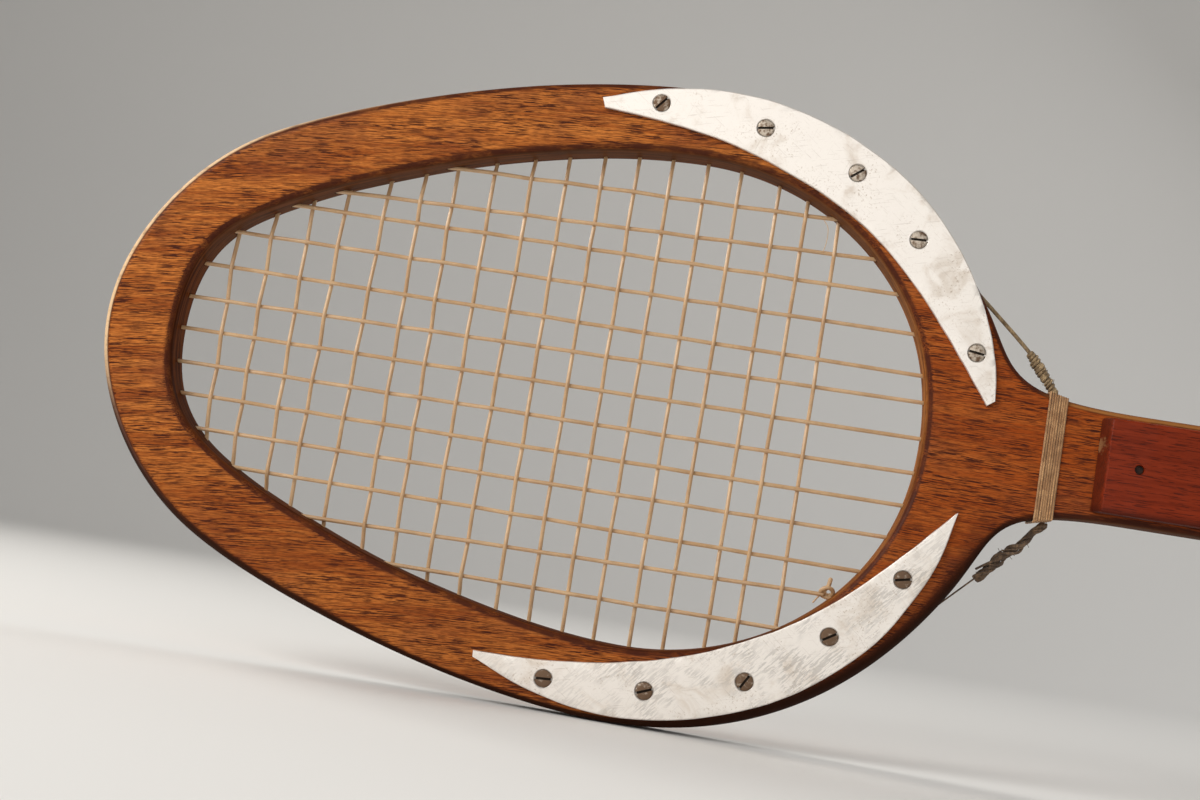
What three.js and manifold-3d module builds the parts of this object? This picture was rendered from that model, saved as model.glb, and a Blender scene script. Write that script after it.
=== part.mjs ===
// A home-made wooden tennis racket, sawn from one thick board and trimmed with two bright crescent
// plates. It stands on the side of its hoop: the handle points along +X, the front face looks along
// -Y and the width of the hoop runs along Z. Millimetres, +Z up.
//
// The racket is drawn about a datum on its long axis, near the middle of the hoop, with the board's
// mid-plane at y = 0. The last lines move it so that the middle of its footprint is the origin.

import * as THREE from "three";
import { mergeVertices } from "three/addons/utils/BufferGeometryUtils.js";
import Module from "manifold-3d";

const wasm = await Module();
wasm.setup();

// ---------------------------------------------------------------- driving dimensions

const gap = 0.3; // air left between pieces that touch

// The board: hoop, throat and the core of the handle in one piece.
const boardThickness = 16;
const edgeRound = 2.5;
const tipX = -185;
const buttX = 501;
const bellyX = 21; // where the hoop and its opening are widest
const hoopHalfWidth = 115.7;
const upperTrim = 2.1; // the upper side of the hoop is cut back, flush with its plate
const coreHalfWidth = 19.3;
const neckEndX = 189.3; // where the shoulder has become the straight handle
const openingTipX = -158.7;
const openingThroatX = 114.7;
const openingHalfWidth = 89;

// Strings.
const stringRadius = 0.75;
const stringSides = 6;
const bedY = 3; // the middle of the string bed, behind the board's mid-plane
const layer = 1.1; // mains lie this far in front of the bed's middle, crosses this far behind it
const holeRadius = 1.1;
const grooveDepth = 2.2;
const grooveHalfWidth = 2.3;
const stringInset = 1.2; // centre of a string lying in a groove, below the wood's surface
const weaveClearance = 5; // a cross comes in front only of mains at least this far from the wall
const shoulderSplay = 9; // how far a main's hole drifts outwards on its way through the shoulder
const backExitX = 133; // where the middle mains come out of the back of the throat

// Hand-drilled holes in the opening's wall. Mains from the top: height at the tip and at the throat.
const mainHoleZs = [
  [73.5, 75], [58.5, 62.5], [51, 51], [38, 37.5], [24.5, 23], [11.5, 13.5], [-0.5, 0.5],
  [-13, -12], [-24.5, -24], [-36.5, -36], [-48.5, -49.5], [-62, -59.5], [-74, -74],
];
// Crosses from the tip: place along the racket at the upper and at the lower hole.
const crossHoleXs = [
  [-144.5, -142.5], [-131.5, -131], [-118.5, -117], [-106, -107], [-91, -93.5], [-78.5, -78],
  [-67, -66], [-53, -52.5], [-39, -40], [-26.5, -26], [-13.5, -13.5], [-1, -1],
  [11.5, 10.5], [24.5, 23.5], [37, 35.5], [51.5, 50], [62.5, 60.5], [74.5, 74],
];
const firstBackMain = 3; // the six middle mains, in pairs, go through to the back of the throat
const lastBackMain = 8;

// Crescent plates and their screws.
const plateThickness = 1.6;
const plateEdgeBevel = 0.3;
const bedding = 0.15; // plates and slabs stand off the wood by this much
const screwHeadRadius = 3.15;
const screwShankRadius = 1.45;
const screwLength = 9;
const screwPoint = 2;
const screwHeadEdge = 0.25;
const screwClearance = 0.2;
const slotWidth = 0.9;
const slotDepth = 0.8;
const screwSegments = 18;

// Handle slabs and their nails.
const slabStartX = 174.5;
const slabHalfWidth = 16.5;
const slabThickness = 6;
const slabChamfer = 0.8;
const slabEndBevel = 3.5;
const nailXs = [188, 338, 488];
const nailRadius = 1;
const nailHeadRadius = 1.5;
const nailSunk = 1.5;
const nailLength = 11;
const nailHeadHeight = 1;
const nailPoint = 1.5;

// Whipping round the neck, and the two strings tied from the hoop to it.
const whippingStartX = 155.6;
const whippingTurns = 8;
const whippingPitch = 0.85;
const whippingRadius = 0.36;
const tieRadius = 0.6;
const wrapRadius = 2.5;
const knotRadius = 2.4;

const frontY = -boardThickness / 2;
const backY = boardThickness / 2;
const mainY = bedY - layer;
const crossY = bedY + layer;
const mainCount = mainHoleZs.length;
const crossCount = crossHoleXs.length;
const plateBackY = frontY - bedding;
const plateFrontY = plateBackY - plateThickness;

// ---------------------------------------------------------------- materials

const paint = (colour, roughness, metalness) =>
  new THREE.MeshStandardMaterial({ color: colour, roughness, metalness });
const hardwood = () => paint(0x9a4a1c, 0.5, 0);
const redwood = () => paint(0x6e2416, 0.5, 0);
const aluminium = () => paint(0xdcd8d2, 0.35, 1);
const wornSteel = () => paint(0x8a8378, 0.45, 1);
const gut = () => paint(0xc9a883, 0.45, 0);
const twine = () => paint(0xb79a72, 0.7, 0);
const darkSteel = () => paint(0x2b2622, 0.6, 1);

// ---------------------------------------------------------------- solids

const racket = new THREE.Group();

// Adds one closed piece to the racket under its own name.
function piece(name, geometry, material) {
  const mesh = new THREE.Mesh(geometry, material);
  mesh.name = name;
  racket.add(mesh);
}

// A closed geometry as a solid that can be joined and cut.
function solid(geometry) {
  const bare = geometry.clone();
  bare.deleteAttribute("normal");
  bare.deleteAttribute("uv");
  const merged = mergeVertices(bare, 1e-4);
  return new wasm.Manifold(
    new wasm.Mesh({
      numProp: 3,
      vertProperties: merged.attributes.position.array,
      triVerts: new Uint32Array(merged.index.array),
    }),
  );
}

// A solid back as a geometry that three.js draws.
function geometryOf(body) {
  const mesh = body.getMesh();
  const geometry = new THREE.BufferGeometry();
  geometry.setAttribute("position", new THREE.BufferAttribute(mesh.vertProperties, 3));
  geometry.setIndex(new THREE.BufferAttribute(mesh.triVerts, 1));
  return geometry;
}

// Takes every cutter away from a body.
function cut(body, cutters) {
  return cutters.reduce((left, cutter) => left.subtract(solid(cutter)), body);
}

// Extrudes an outline drawn in (x, z) from the plane y = nearY back to the plane y = farY.
function slice(outline, nearY, farY, bevel = 0, bevelSegments = 1) {
  const geometry = new THREE.ExtrudeGeometry(outline, {
    depth: farY - nearY - 2 * bevel,
    bevelEnabled: bevel > 0,
    bevelThickness: bevel,
    bevelSize: bevel,
    bevelOffset: -bevel,
    bevelSegments,
    curveSegments: 1,
  });
  geometry.rotateX(Math.PI / 2);
  return geometry.translate(0, farY - bevel, 0);
}

// The curve through hand-placed corners of a string's route, one section at every corner.
class Route extends THREE.Curve {
  constructor(corners) {
    super();
    this.corners = corners;
  }
  getPoint(t, target = new THREE.Vector3()) {
    const place = t * (this.corners.length - 1);
    const index = Math.min(Math.floor(place), this.corners.length - 2);
    return target.lerpVectors(this.corners[index], this.corners[index + 1], place - index);
  }
  getPointAt(u, target) {
    return this.getPoint(u, target);
  }
  getTangentAt(u, target = new THREE.Vector3()) {
    const index = Math.round(u * (this.corners.length - 1));
    const here = this.corners[index];
    const before = this.corners[Math.max(index - 1, 0)];
    const after = this.corners[Math.min(index + 1, this.corners.length - 1)];
    const arriving = here.clone().sub(before).normalize();
    const leaving = after.clone().sub(here).normalize();
    return target.addVectors(arriving, leaving).normalize();
  }
}

// A round string along a route.
function cord(corners, radius, sides = stringSides) {
  const section = new THREE.Shape();
  for (let side = 0; side < sides; side++) {
    const angle = (2 * Math.PI * side) / sides;
    const place = [radius * Math.cos(angle), radius * Math.sin(angle)];
    if (side === 0) section.moveTo(...place);
    else section.lineTo(...place);
  }
  section.closePath();
  return new THREE.ExtrudeGeometry(section, {
    steps: corners.length - 1,
    extrudePath: new Route(corners),
  });
}

const point = (x, y, z) => new THREE.Vector3(x, y, z);

// ---------------------------------------------------------------- outlines of the board

// Half of the hoop, shoulder and handle side, from the tip to where the handle is straight. Trim
// is how much its wide part is cut back.
function halfEdge(trim) {
  const halfWidth = hoopHalfWidth - trim;
  const path = new THREE.Path();
  path.moveTo(tipX, 0);
  path.bezierCurveTo(tipX, 29.6, -165.2, 58, -141.2, 72.7);
  path.bezierCurveTo(-112.1, 90.5, -33.9, halfWidth, bellyX, halfWidth);
  path.bezierCurveTo(78.7, halfWidth, 113.3 - trim, 82.2 - trim, 131.9 - trim, 51.6 - trim / 2);
  path.bezierCurveTo(145.5 - trim, 29.1, 138.4, coreHalfWidth, neckEndX, coreHalfWidth);
  return path.getPoints(13);
}

// Upper half of the opening, from its tip end to its throat end.
function upperOpening() {
  const path = new THREE.Path();
  path.moveTo(openingTipX, 0);
  path.bezierCurveTo(openingTipX, 28.5, -145.5, 39.4, -129.8, 48.2);
  path.bezierCurveTo(-97, 66.5, -30.1, openingHalfWidth, bellyX, openingHalfWidth);
  path.bezierCurveTo(69, openingHalfWidth, openingThroatX, 56.3, openingThroatX, 0);
  return path.getPoints(12);
}

// The mirror image in the long axis of a lower half, then an upper half, as one list of points.
function joined(lowerHalf, upperHalf) {
  const lower = lowerHalf.map((p) => new THREE.Vector2(p.x, -p.y)).reverse();
  return [...lower, ...upperHalf.slice(1)];
}

// Both lines run from the lower side of the throat, round the tip, to its upper side.
const edgeLine = joined(halfEdge(0), halfEdge(upperTrim));
const openingLine = joined(upperOpening(), upperOpening());

// A line moved inwards, towards the long axis, by the given distance.
function inset(line, distance) {
  return line.map((p, i) => {
    const before = line[Math.max(i - 1, 0)];
    const after = line[Math.min(i + 1, line.length - 1)];
    const along = after.clone().sub(before).normalize();
    return new THREE.Vector2(p.x + along.y * distance, p.y - along.x * distance);
  });
}

const stringLine = inset(edgeLine, stringInset);

// Where a line meets x = value or z = value: its place along the line, counted in corners.
function meet(line, axis, value, isWanted) {
  for (let i = 0; i < line.length - 1; i++) {
    const from = line[i];
    const to = line[i + 1];
    const share = (value - from[axis]) / (to[axis] - from[axis]);
    if (share >= 0 && share < 1 && isWanted(from, to)) return i + share;
  }
  throw new Error("no crossing at " + axis + " = " + value);
}

function placeOn(line, at) {
  const index = Math.min(Math.floor(at), line.length - 2);
  return line[index].clone().lerp(line[index + 1], at - index);
}

// The stretch of the string line between two places on it, as points in the layer y.
function stretch(fromPlace, toPlace, y) {
  const step = fromPlace < toPlace ? 1 : -1;
  const inside = [];
  const first = step > 0 ? Math.floor(fromPlace) + 1 : Math.ceil(fromPlace) - 1;
  for (let i = first; step * (toPlace - i) > 0; i += step) {
    const isClear = Math.abs(i - fromPlace) > 0.25 && Math.abs(i - toPlace) > 0.25;
    if (isClear) inside.push(stringLine[i]);
  }
  return inside.map((p) => point(p.x, y, p.y));
}

// ---------------------------------------------------------------- where the strings run

const isTipSide = (p) => p.x < bellyX;
const isThroatSide = (p) => p.x >= bellyX;

// A main: its holes in the walls of the opening, and where it comes out of the hoop's outer edge.
function layMain([tipZ, throatZ], index) {
  const main = { tipZ, throatZ };
  main.goesToBack = index >= firstBackMain && index <= lastBackMain;
  main.tipWall = placeOn(openingLine, meet(openingLine, "y", tipZ, isTipSide)).x;
  main.throatWall = placeOn(openingLine, meet(openingLine, "y", throatZ, isThroatSide)).x;
  main.tipPlace = meet(stringLine, "y", tipZ, isTipSide);
  main.tipX = placeOn(stringLine, main.tipPlace).x;
  if (!main.goesToBack) {
    main.exitZ = throatZ + Math.sign(throatZ) * shoulderSplay;
    main.exitPlace = meet(stringLine, "y", main.exitZ, isThroatSide);
    main.exitX = placeOn(stringLine, main.exitPlace).x;
  }
  return main;
}

// A cross: its holes in the walls of the opening, and where it comes out of the hoop's outer edge.
function layCross([upperX, lowerX]) {
  const cross = { upperX, lowerX };
  const isUpper = (p) => p.y > 0;
  const isLower = (p, q) => q.y < 0;
  cross.upperWall = placeOn(openingLine, meet(openingLine, "x", upperX, isUpper)).y;
  cross.lowerWall = placeOn(openingLine, meet(openingLine, "x", lowerX, isLower)).y;
  cross.upperPlace = meet(stringLine, "x", upperX, isUpper);
  cross.lowerPlace = meet(stringLine, "x", lowerX, isLower);
  cross.upperExit = placeOn(stringLine, cross.upperPlace).y;
  cross.lowerExit = placeOn(stringLine, cross.lowerPlace).y;
  return cross;
}

const mains = mainHoleZs.map(layMain); // mains[0] is the top one
const crosses = crossHoleXs.map(layCross); // crosses[0] is the one nearest the tip

const between = (from, to, share) => from + (to - from) * share;

// The place (x, z) where a cross passes a main.
function crossing(main, cross) {
  const middleZ = (main.tipZ + main.throatZ) / 2;
  const up = (middleZ - cross.lowerWall) / (cross.upperWall - cross.lowerWall);
  const x = between(cross.lowerX, cross.upperX, up);
  const along = (x - main.tipWall) / (main.throatWall - main.tipWall);
  return new THREE.Vector2(x, between(main.tipZ, main.throatZ, along));
}

const backStringY = backY - stringInset;

// ---------------------------------------------------------------- frame

// A hole tool through a list of points.
const hole = (...corners) => cord(corners, holeRadius);

// Where a main enters the hoop's tip, bends just inside the throat's wall, and leaves the throat.
const entryOf = (main) => point(main.tipWall - 1, mainY, main.tipZ);
const bendOf = (main) => point(main.throatWall + 1, mainY, main.throatZ);
const exitOf = (main) =>
  main.goesToBack
    ? point(backExitX, backStringY, main.throatZ)
    : point(main.exitX, mainY, main.exitZ);

function mainHoles(main) {
  const inside = 4;
  const tip = [main.tipWall + inside, main.tipX - inside];
  const bend = bendOf(main);
  const exit = exitOf(main);
  const beyond = exit.clone().addScaledVector(exit.clone().sub(bend).normalize(), inside);
  return [
    hole(...tip.map((x) => point(x, mainY, main.tipZ))),
    hole(point(main.throatWall - inside, mainY, main.throatZ), bend, beyond),
  ];
}

function crossHoles({ upperX, upperWall, upperExit, lowerX, lowerWall, lowerExit }) {
  const inside = 4;
  return [
    hole(point(upperX, crossY, upperWall - inside), point(upperX, crossY, upperExit + inside)),
    hole(point(lowerX, crossY, lowerWall + inside), point(lowerX, crossY, lowerExit - inside)),
  ];
}

// The string groove in the hoop's outer edge, from shoulder to shoulder.
function edgeGroove() {
  const from = Math.floor(mains[mainCount - 4].exitPlace) - 1;
  const to = Math.ceil(mains[2].exitPlace) + 1;
  const floor = inset(edgeLine, grooveDepth).slice(from, to + 1);
  const outside = inset(edgeLine, -4).slice(from, to + 1);
  const band = new THREE.Shape([...floor, ...outside.reverse()]);
  return slice(band, bedY - grooveHalfWidth, bedY + grooveHalfWidth);
}

// Short grooves in the back of the throat, one for each pair of mains that turns there.
function backGrooves() {
  const grooves = [];
  for (let i = firstBackMain; i < lastBackMain; i += 2) {
    const from = mains[i].throatZ;
    const to = mains[i + 1].throatZ;
    const length = from - to + 2 * grooveDepth;
    const groove = new THREE.BoxGeometry(2 * holeRadius + gap, 2 * grooveDepth, length);
    grooves.push(groove.translate(backExitX, backY, (from + to) / 2));
  }
  return grooves;
}

// A plain round hole from the plane y = nearY back to y = farY.
function drilled(x, z, radius, nearY, farY, segments = 10) {
  const tool = new THREE.CylinderGeometry(radius, radius, farY - nearY, segments);
  return tool.translate(x, (nearY + farY) / 2, z);
}

function frame() {
  const outline = new THREE.Shape([
    new THREE.Vector2(buttX, -coreHalfWidth),
    new THREE.Vector2(buttX, coreHalfWidth),
    ...edgeLine.toReversed(),
  ]);
  outline.holes.push(new THREE.Path(openingLine.slice(1)));
  const board = solid(slice(outline, frontY, backY, edgeRound, 2));
  const screwTipY = plateFrontY + screwLength + gap;
  const pilots = [...upperScrews, ...lowerScrews].map(([x, z]) =>
    drilled(x, z, screwShankRadius + gap, frontY - 1, screwTipY),
  );
  const nailReach = nailLength - slabThickness + nailSunk + gap;
  const nailHoles = nailXs.flatMap((x) => [
    drilled(x, 0, nailRadius + gap, frontY - 1, frontY + nailReach),
    drilled(x, 0, nailRadius + gap, backY - nailReach, backY + 1),
  ]);
  const stringHoles = [...mains.flatMap(mainHoles), ...crosses.flatMap(crossHoles)];
  const cutters = [edgeGroove(), ...backGrooves(), ...stringHoles, ...pilots, ...nailHoles];
  return geometryOf(cut(board, cutters));
}

// ---------------------------------------------------------------- strings

// The main string: up and down the racket through mains 12 to 1, round the rim between them.
function mainString() {
  const start = mains[mainCount - 2];
  const startX = start.throatWall - 8;
  const along = (startX - start.tipWall) / (start.throatWall - start.tipWall);
  const route = [point(startX, mainY, between(start.tipZ, start.throatZ, along))];
  for (let i = mainCount - 2; i >= 0; i--) {
    const main = mains[i];
    const next = mains[i - 1];
    const tip = [entryOf(main), point(main.tipX, mainY, main.tipZ)];
    const throat = [bendOf(main), exitOf(main)];
    const runsToTip = (mainCount - 2 - i) % 2 === 0;
    if (main === start) route.push(...tip);
    else if (runsToTip) route.push(...throat.reverse(), ...tip);
    else route.push(...tip.reverse(), ...throat);
    if (i === 0) break;
    if (runsToTip) route.push(...stretch(main.tipPlace, next.tipPlace, mainY));
    else if (!main.goesToBack) route.push(...stretch(main.exitPlace, next.exitPlace, mainY));
  }
  return cord(route, stringRadius);
}

// Points of one cross from its lower to its upper end, over and under the mains it passes.
function crossPoints(cross, number) {
  const { upperX, upperWall, upperExit, lowerX, lowerWall, lowerExit } = cross;
  const points = [point(lowerX, crossY, lowerExit), point(lowerX, crossY, lowerWall + 1)];
  for (let i = mainCount - 1; i >= 0; i--) {
    const { x, y: z } = crossing(mains[i], cross);
    const toWall = Math.min(z - lowerWall, upperWall - z);
    const isInFront = (i + number) % 2 === 0 && toWall > weaveClearance;
    if (toWall > 2 * stringRadius) points.push(point(x, isInFront ? mainY - 2 * layer : crossY, z));
  }
  points.push(point(upperX, crossY, upperWall - 1), point(upperX, crossY, upperExit));
  return points;
}

// The cross string: along the lowest main, then up and down from the throat end to the tip.
function crossString() {
  const lowest = mains[mainCount - 1];
  const route = [
    point(lowest.tipX + 3, mainY, lowest.tipZ),
    entryOf(lowest),
    bendOf(lowest),
    exitOf(lowest),
  ];
  const landing = stretch(lowest.exitPlace, crosses[crossCount - 1].lowerPlace, mainY);
  landing.forEach((p, i) => p.setY(between(mainY, crossY, (i + 1) / (landing.length + 1))));
  route.push(...landing);
  for (let i = crossCount - 1; i >= 0; i--) {
    const goesUp = (crossCount - 1 - i) % 2 === 0;
    const run = crossPoints(crosses[i], i);
    route.push(...(goesUp ? run : run.reverse()));
    if (i === 0) break;
    const place = goesUp ? "upperPlace" : "lowerPlace";
    route.push(...stretch(crosses[i][place], crosses[i - 1][place], crossY));
  }
  return cord(route, stringRadius);
}

// ---------------------------------------------------------------- crescent plates

// Centres of the plate screws and the turn of each slot, in degrees from the long axis.
const upperScrews = [
  [4.8, 105.6, 50],
  [43.3, 101.8, 8],
  [78.1, 90.2, 38],
  [102.9, 69.4, 2],
  [128.5, 32.4, -8],
];
const lowerScrews = [
  [-3.7, -104.3, 4],
  [31.8, -102.7, 22],
  [65.7, -93.8, 60],
  [92.3, -73.7, 32],
  [114.4, -50.1, 12],
];

// A crescent: out along one edge and back along the other, each a smooth curve.
function crescent(outer, inner) {
  const shape = new THREE.Shape();
  shape.moveTo(...outer[0]);
  shape.splineThru(outer.slice(1).map((p) => new THREE.Vector2(...p)));
  shape.lineTo(...inner[0]);
  shape.splineThru(inner.slice(1).map((p) => new THREE.Vector2(...p)));
  return new THREE.Shape(shape.getPoints(4));
}

const upperOutline = crescent(
  [
    [-16.7, 104.7], [3, 110.6], [25, 113.3], [50, 110.9], [77, 101.6],
    [101, 86.3], [119.5, 65.5], [130.8, 44], [136, 27], [137, 16.4],
  ],
  [
    [134.4, 14.4], [122.9, 29.8], [106, 50.6], [88, 67.8], [66, 81.4],
    [35, 93.4], [8, 98.8], [-15.4, 101.2],
  ],
);
const lowerOutline = crescent(
  [
    [-29.6, -100.9], [-11.2, -108.2], [10.9, -112.8], [32, -112.7], [53, -108.5],
    [75, -99.9], [92, -88.8], [108.5, -73], [119.1, -56.4], [126, -41.3], [129.9, -24.2],
  ],
  [
    [129.2, -24.6], [112.4, -42.8], [94, -60.3], [75.1, -73.9], [49.1, -86.6],
    [22, -94.3], [-5.8, -98], [-29.8, -98.6],
  ],
);

// The countersink for a screw head, widest at the plate's face.
function countersink([x, z]) {
  const top = screwHeadRadius + screwClearance;
  const coneDepth = plateThickness - screwHeadEdge;
  const bottom = top - coneDepth;
  const profile = [
    new THREE.Vector2(0, -1),
    new THREE.Vector2(bottom, -1),
    new THREE.Vector2(bottom, 0),
    new THREE.Vector2(top, coneDepth),
    new THREE.Vector2(top, plateThickness + 1),
    new THREE.Vector2(0, plateThickness + 1),
  ];
  const tool = new THREE.LatheGeometry(profile, screwSegments).rotateX(Math.PI);
  return tool.translate(x, plateBackY, z);
}

function plate(outline, screws) {
  const sheet = solid(slice(outline, plateFrontY, plateBackY, plateEdgeBevel));
  return geometryOf(cut(sheet, screws.map(countersink)));
}

// A slotted countersunk wood screw, its head just below the plate's face.
function screw([x, z, turn]) {
  const shankTop = screwHeadEdge + screwHeadRadius - screwShankRadius;
  const profile = [
    new THREE.Vector2(0, -screwLength),
    new THREE.Vector2(screwShankRadius, screwPoint - screwLength),
    new THREE.Vector2(screwShankRadius, -shankTop),
    new THREE.Vector2(screwHeadRadius, -screwHeadEdge),
    new THREE.Vector2(screwHeadRadius - 0.1, 0),
    new THREE.Vector2(0, 0),
  ];
  const body = solid(new THREE.LatheGeometry(profile, screwSegments));
  const slot = new THREE.BoxGeometry(3 * screwHeadRadius, 2 * slotDepth, slotWidth);
  const slotted = geometryOf(body.subtract(solid(slot)));
  slotted.rotateY(THREE.MathUtils.degToRad(turn)).rotateX(Math.PI);
  return slotted.translate(x, plateFrontY, z);
}

// ---------------------------------------------------------------- handle slabs

// A slab on one face of the core: chamfered along both edges, bevelled at its throat end.
function slab(side) {
  const near = backY + bedding;
  const far = near + slabThickness;
  const section = new THREE.Shape();
  section.moveTo(-slabHalfWidth, near);
  section.lineTo(slabHalfWidth, near);
  section.lineTo(slabHalfWidth, far - slabChamfer);
  section.lineTo(slabHalfWidth - slabChamfer, far);
  section.lineTo(slabChamfer - slabHalfWidth, far);
  section.lineTo(-slabHalfWidth, far - slabChamfer);
  section.closePath();
  const bar = new THREE.ExtrudeGeometry(section, {
    depth: buttX - slabStartX,
    bevelEnabled: false,
  });
  bar.rotateY(Math.PI / 2).translate(slabStartX, 0, 0);
  const endTool = new THREE.Shape();
  endTool.moveTo(slabStartX - 1, near + 1);
  endTool.lineTo(slabStartX, near + 1);
  endTool.lineTo(slabStartX + slabEndBevel, far + gap);
  endTool.lineTo(slabStartX - 1, far + gap);
  endTool.closePath();
  const depth = 3 * slabHalfWidth;
  const wedge = new THREE.ExtrudeGeometry(endTool, { depth, bevelEnabled: false });
  wedge.translate(0, 0, -depth / 2);
  const nailHoles = nailXs.map((x) =>
    drilled(x, 0, nailHeadRadius + gap / 2, near - 1, far + 1),
  );
  const body = geometryOf(cut(solid(bar), [wedge, ...nailHoles]));
  return side > 0 ? body : body.rotateX(Math.PI);
}

// A nail driven through a slab, its head punched below the surface.
function nail(x, side) {
  const profile = [
    new THREE.Vector2(0, -nailLength),
    new THREE.Vector2(nailRadius, nailPoint - nailLength),
    new THREE.Vector2(nailRadius, -nailHeadHeight),
    new THREE.Vector2(nailHeadRadius, -nailHeadHeight / 2),
    new THREE.Vector2(nailHeadRadius, 0),
    new THREE.Vector2(0, 0),
  ];
  const body = new THREE.LatheGeometry(profile, 8);
  body.translate(0, backY + bedding + slabThickness - nailSunk, 0);
  if (side < 0) body.rotateX(Math.PI);
  return body.translate(x, 0, 0);
}

// ---------------------------------------------------------------- whipping and ties

// Half the neck's width at x.
function neckHalfWidth(x) {
  return placeOn(edgeLine, meet(edgeLine, "x", x, (p) => p.y > 0)).y;
}

// One strand wound round the neck, turn beside turn, following the neck's rounded section.
function whipping() {
  const lift = whippingRadius + gap;
  const turn = [];
  for (const [sideY, sideZ] of [[-1, 1], [-1, -1], [1, -1], [1, 1]]) {
    const isBeforeCorner = sideY * sideZ < 0;
    const flat = { y: backY + lift, z: -edgeRound };
    const edge = { y: backY - edgeRound, z: lift };
    const middle = { y: backY + lift - edgeRound / 3, z: lift - edgeRound / 3 };
    const corner = isBeforeCorner ? [edge, middle, flat] : [flat, middle, edge];
    for (const { y, z } of corner) turn.push({ y: sideY * y, sideZ, z });
  }
  const route = [];
  for (let i = 0; i <= whippingTurns * turn.length; i++) {
    const x = whippingStartX + (i / turn.length) * whippingPitch;
    const { y, sideZ, z } = turn[i % turn.length];
    route.push(point(x, y, sideZ * (neckHalfWidth(x) + z)));
  }
  return cord(route, whippingRadius, 5);
}

// Ends of the two ties, on the hoop's shoulder and at the neck's edge.
const neckTieX = 158.8;
const neckTieZ = neckHalfWidth(neckTieX) + 2 * whippingRadius + 2 * gap + tieRadius;
// A point at the back of the shoulder's string groove at the height z.
function inGroove(z) {
  const place = placeOn(stringLine, meet(stringLine, "y", z, isThroatSide));
  return point(place.x, crossY, z);
}

const upperTieRoute = [
  inGroove(79),
  inGroove(71),
  inGroove(63.5),
  point(148.2, 0, 36.6),
  point(neckTieX, 0, neckTieZ),
];
const lowerTieRoute = [
  inGroove(-77),
  inGroove(-70),
  inGroove(-63.5),
  point(143.1, 0, -42.2),
  point(153.9, 0, -31.5),
  point(161, 0, -neckTieZ),
];

// A coil of the same string round a tie, ridged turn by turn, between two points on it.
function wrap(from, to, radius, turns) {
  const length = from.distanceTo(to);
  const bore = tieRadius + gap;
  const strand = length / turns;
  const profile = [new THREE.Vector2(bore, 0)];
  for (let i = 0; i < turns; i++) {
    const taper = Math.min(i + 1, turns - i, 3) / 3;
    const crown = bore + (radius - bore) * taper;
    profile.push(new THREE.Vector2(crown - strand / 4, i * strand + strand * 0.1));
    profile.push(new THREE.Vector2(crown, (i + 0.5) * strand));
  }
  profile.push(new THREE.Vector2(bore + strand / 4, length), new THREE.Vector2(bore, length));
  profile.push(new THREE.Vector2(bore, 0));
  const coil = new THREE.LatheGeometry(profile, 10);
  const axis = to.clone().sub(from).normalize();
  coil.applyQuaternion(new THREE.Quaternion().setFromUnitVectors(point(0, 1, 0), axis));
  return coil.translate(from.x, from.y, from.z);
}

// The knot that ends the main string inside the hoop, at the throat end of main 12.
function knot() {
  const main = mains[mainCount - 2];
  const ball = new THREE.SphereGeometry(knotRadius, 10, 8).scale(0.8, 0.9, 1.1);
  const bore = cord([point(-9, 0, 0), point(9, 0, 0)], stringRadius + gap);
  ball.translate(0, 0, 0.4);
  const body = geometryOf(solid(ball).subtract(solid(bore)));
  return body.translate(main.throatWall - 3.4, mainY, main.throatZ);
}

// ---------------------------------------------------------------- assembly

piece("frame", frame(), hardwood());
piece("main_string", mainString(), gut());
piece("cross_string", crossString(), gut());
piece("upper_plate", plate(upperOutline, upperScrews), aluminium());
piece("lower_plate", plate(lowerOutline, lowerScrews), aluminium());
upperScrews.forEach((place, i) => piece(`upper_plate_screw_${i + 1}`, screw(place), wornSteel()));
lowerScrews.forEach((place, i) => piece(`lower_plate_screw_${i + 1}`, screw(place), wornSteel()));
piece("front_slab", slab(-1), redwood());
piece("back_slab", slab(1), redwood());
nailXs.forEach((x, i) => {
  piece(`front_slab_nail_${i + 1}`, nail(x, -1), darkSteel());
  piece(`back_slab_nail_${i + 1}`, nail(x, 1), darkSteel());
});
piece("throat_whipping", whipping(), twine());
piece("upper_tie", cord(upperTieRoute, tieRadius), twine());
piece("upper_tie_coil", wrap(upperTieRoute[3], upperTieRoute[4], wrapRadius, 8), twine());
piece("lower_tie", cord(lowerTieRoute, tieRadius), twine());
piece("lower_tie_coil", wrap(lowerTieRoute[3], lowerTieRoute[4], wrapRadius, 6), twine());
piece("main_string_knot", knot(), gut());

// The origin is the middle of the footprint: halfway along, mid-thickness, under the hoop.
racket.position.set(-(tipX + buttX) / 2, 0, hoopHalfWidth);

export default racket;
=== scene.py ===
"""Looks for a home-made wooden tennis racket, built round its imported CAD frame.

The racket is drawn flat in millimetres, as its CAD source is: x runs along it from a datum near the
middle of the hoop towards the butt, z across it, y from the front face to the back. to_frame()
turns that drawing into metres in the frame that the CAD model stands in.
"""

import math
import random

import bmesh
import bpy
import numpy as np
from mathutils import Matrix, Quaternion, Vector, geometry, noise


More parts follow.
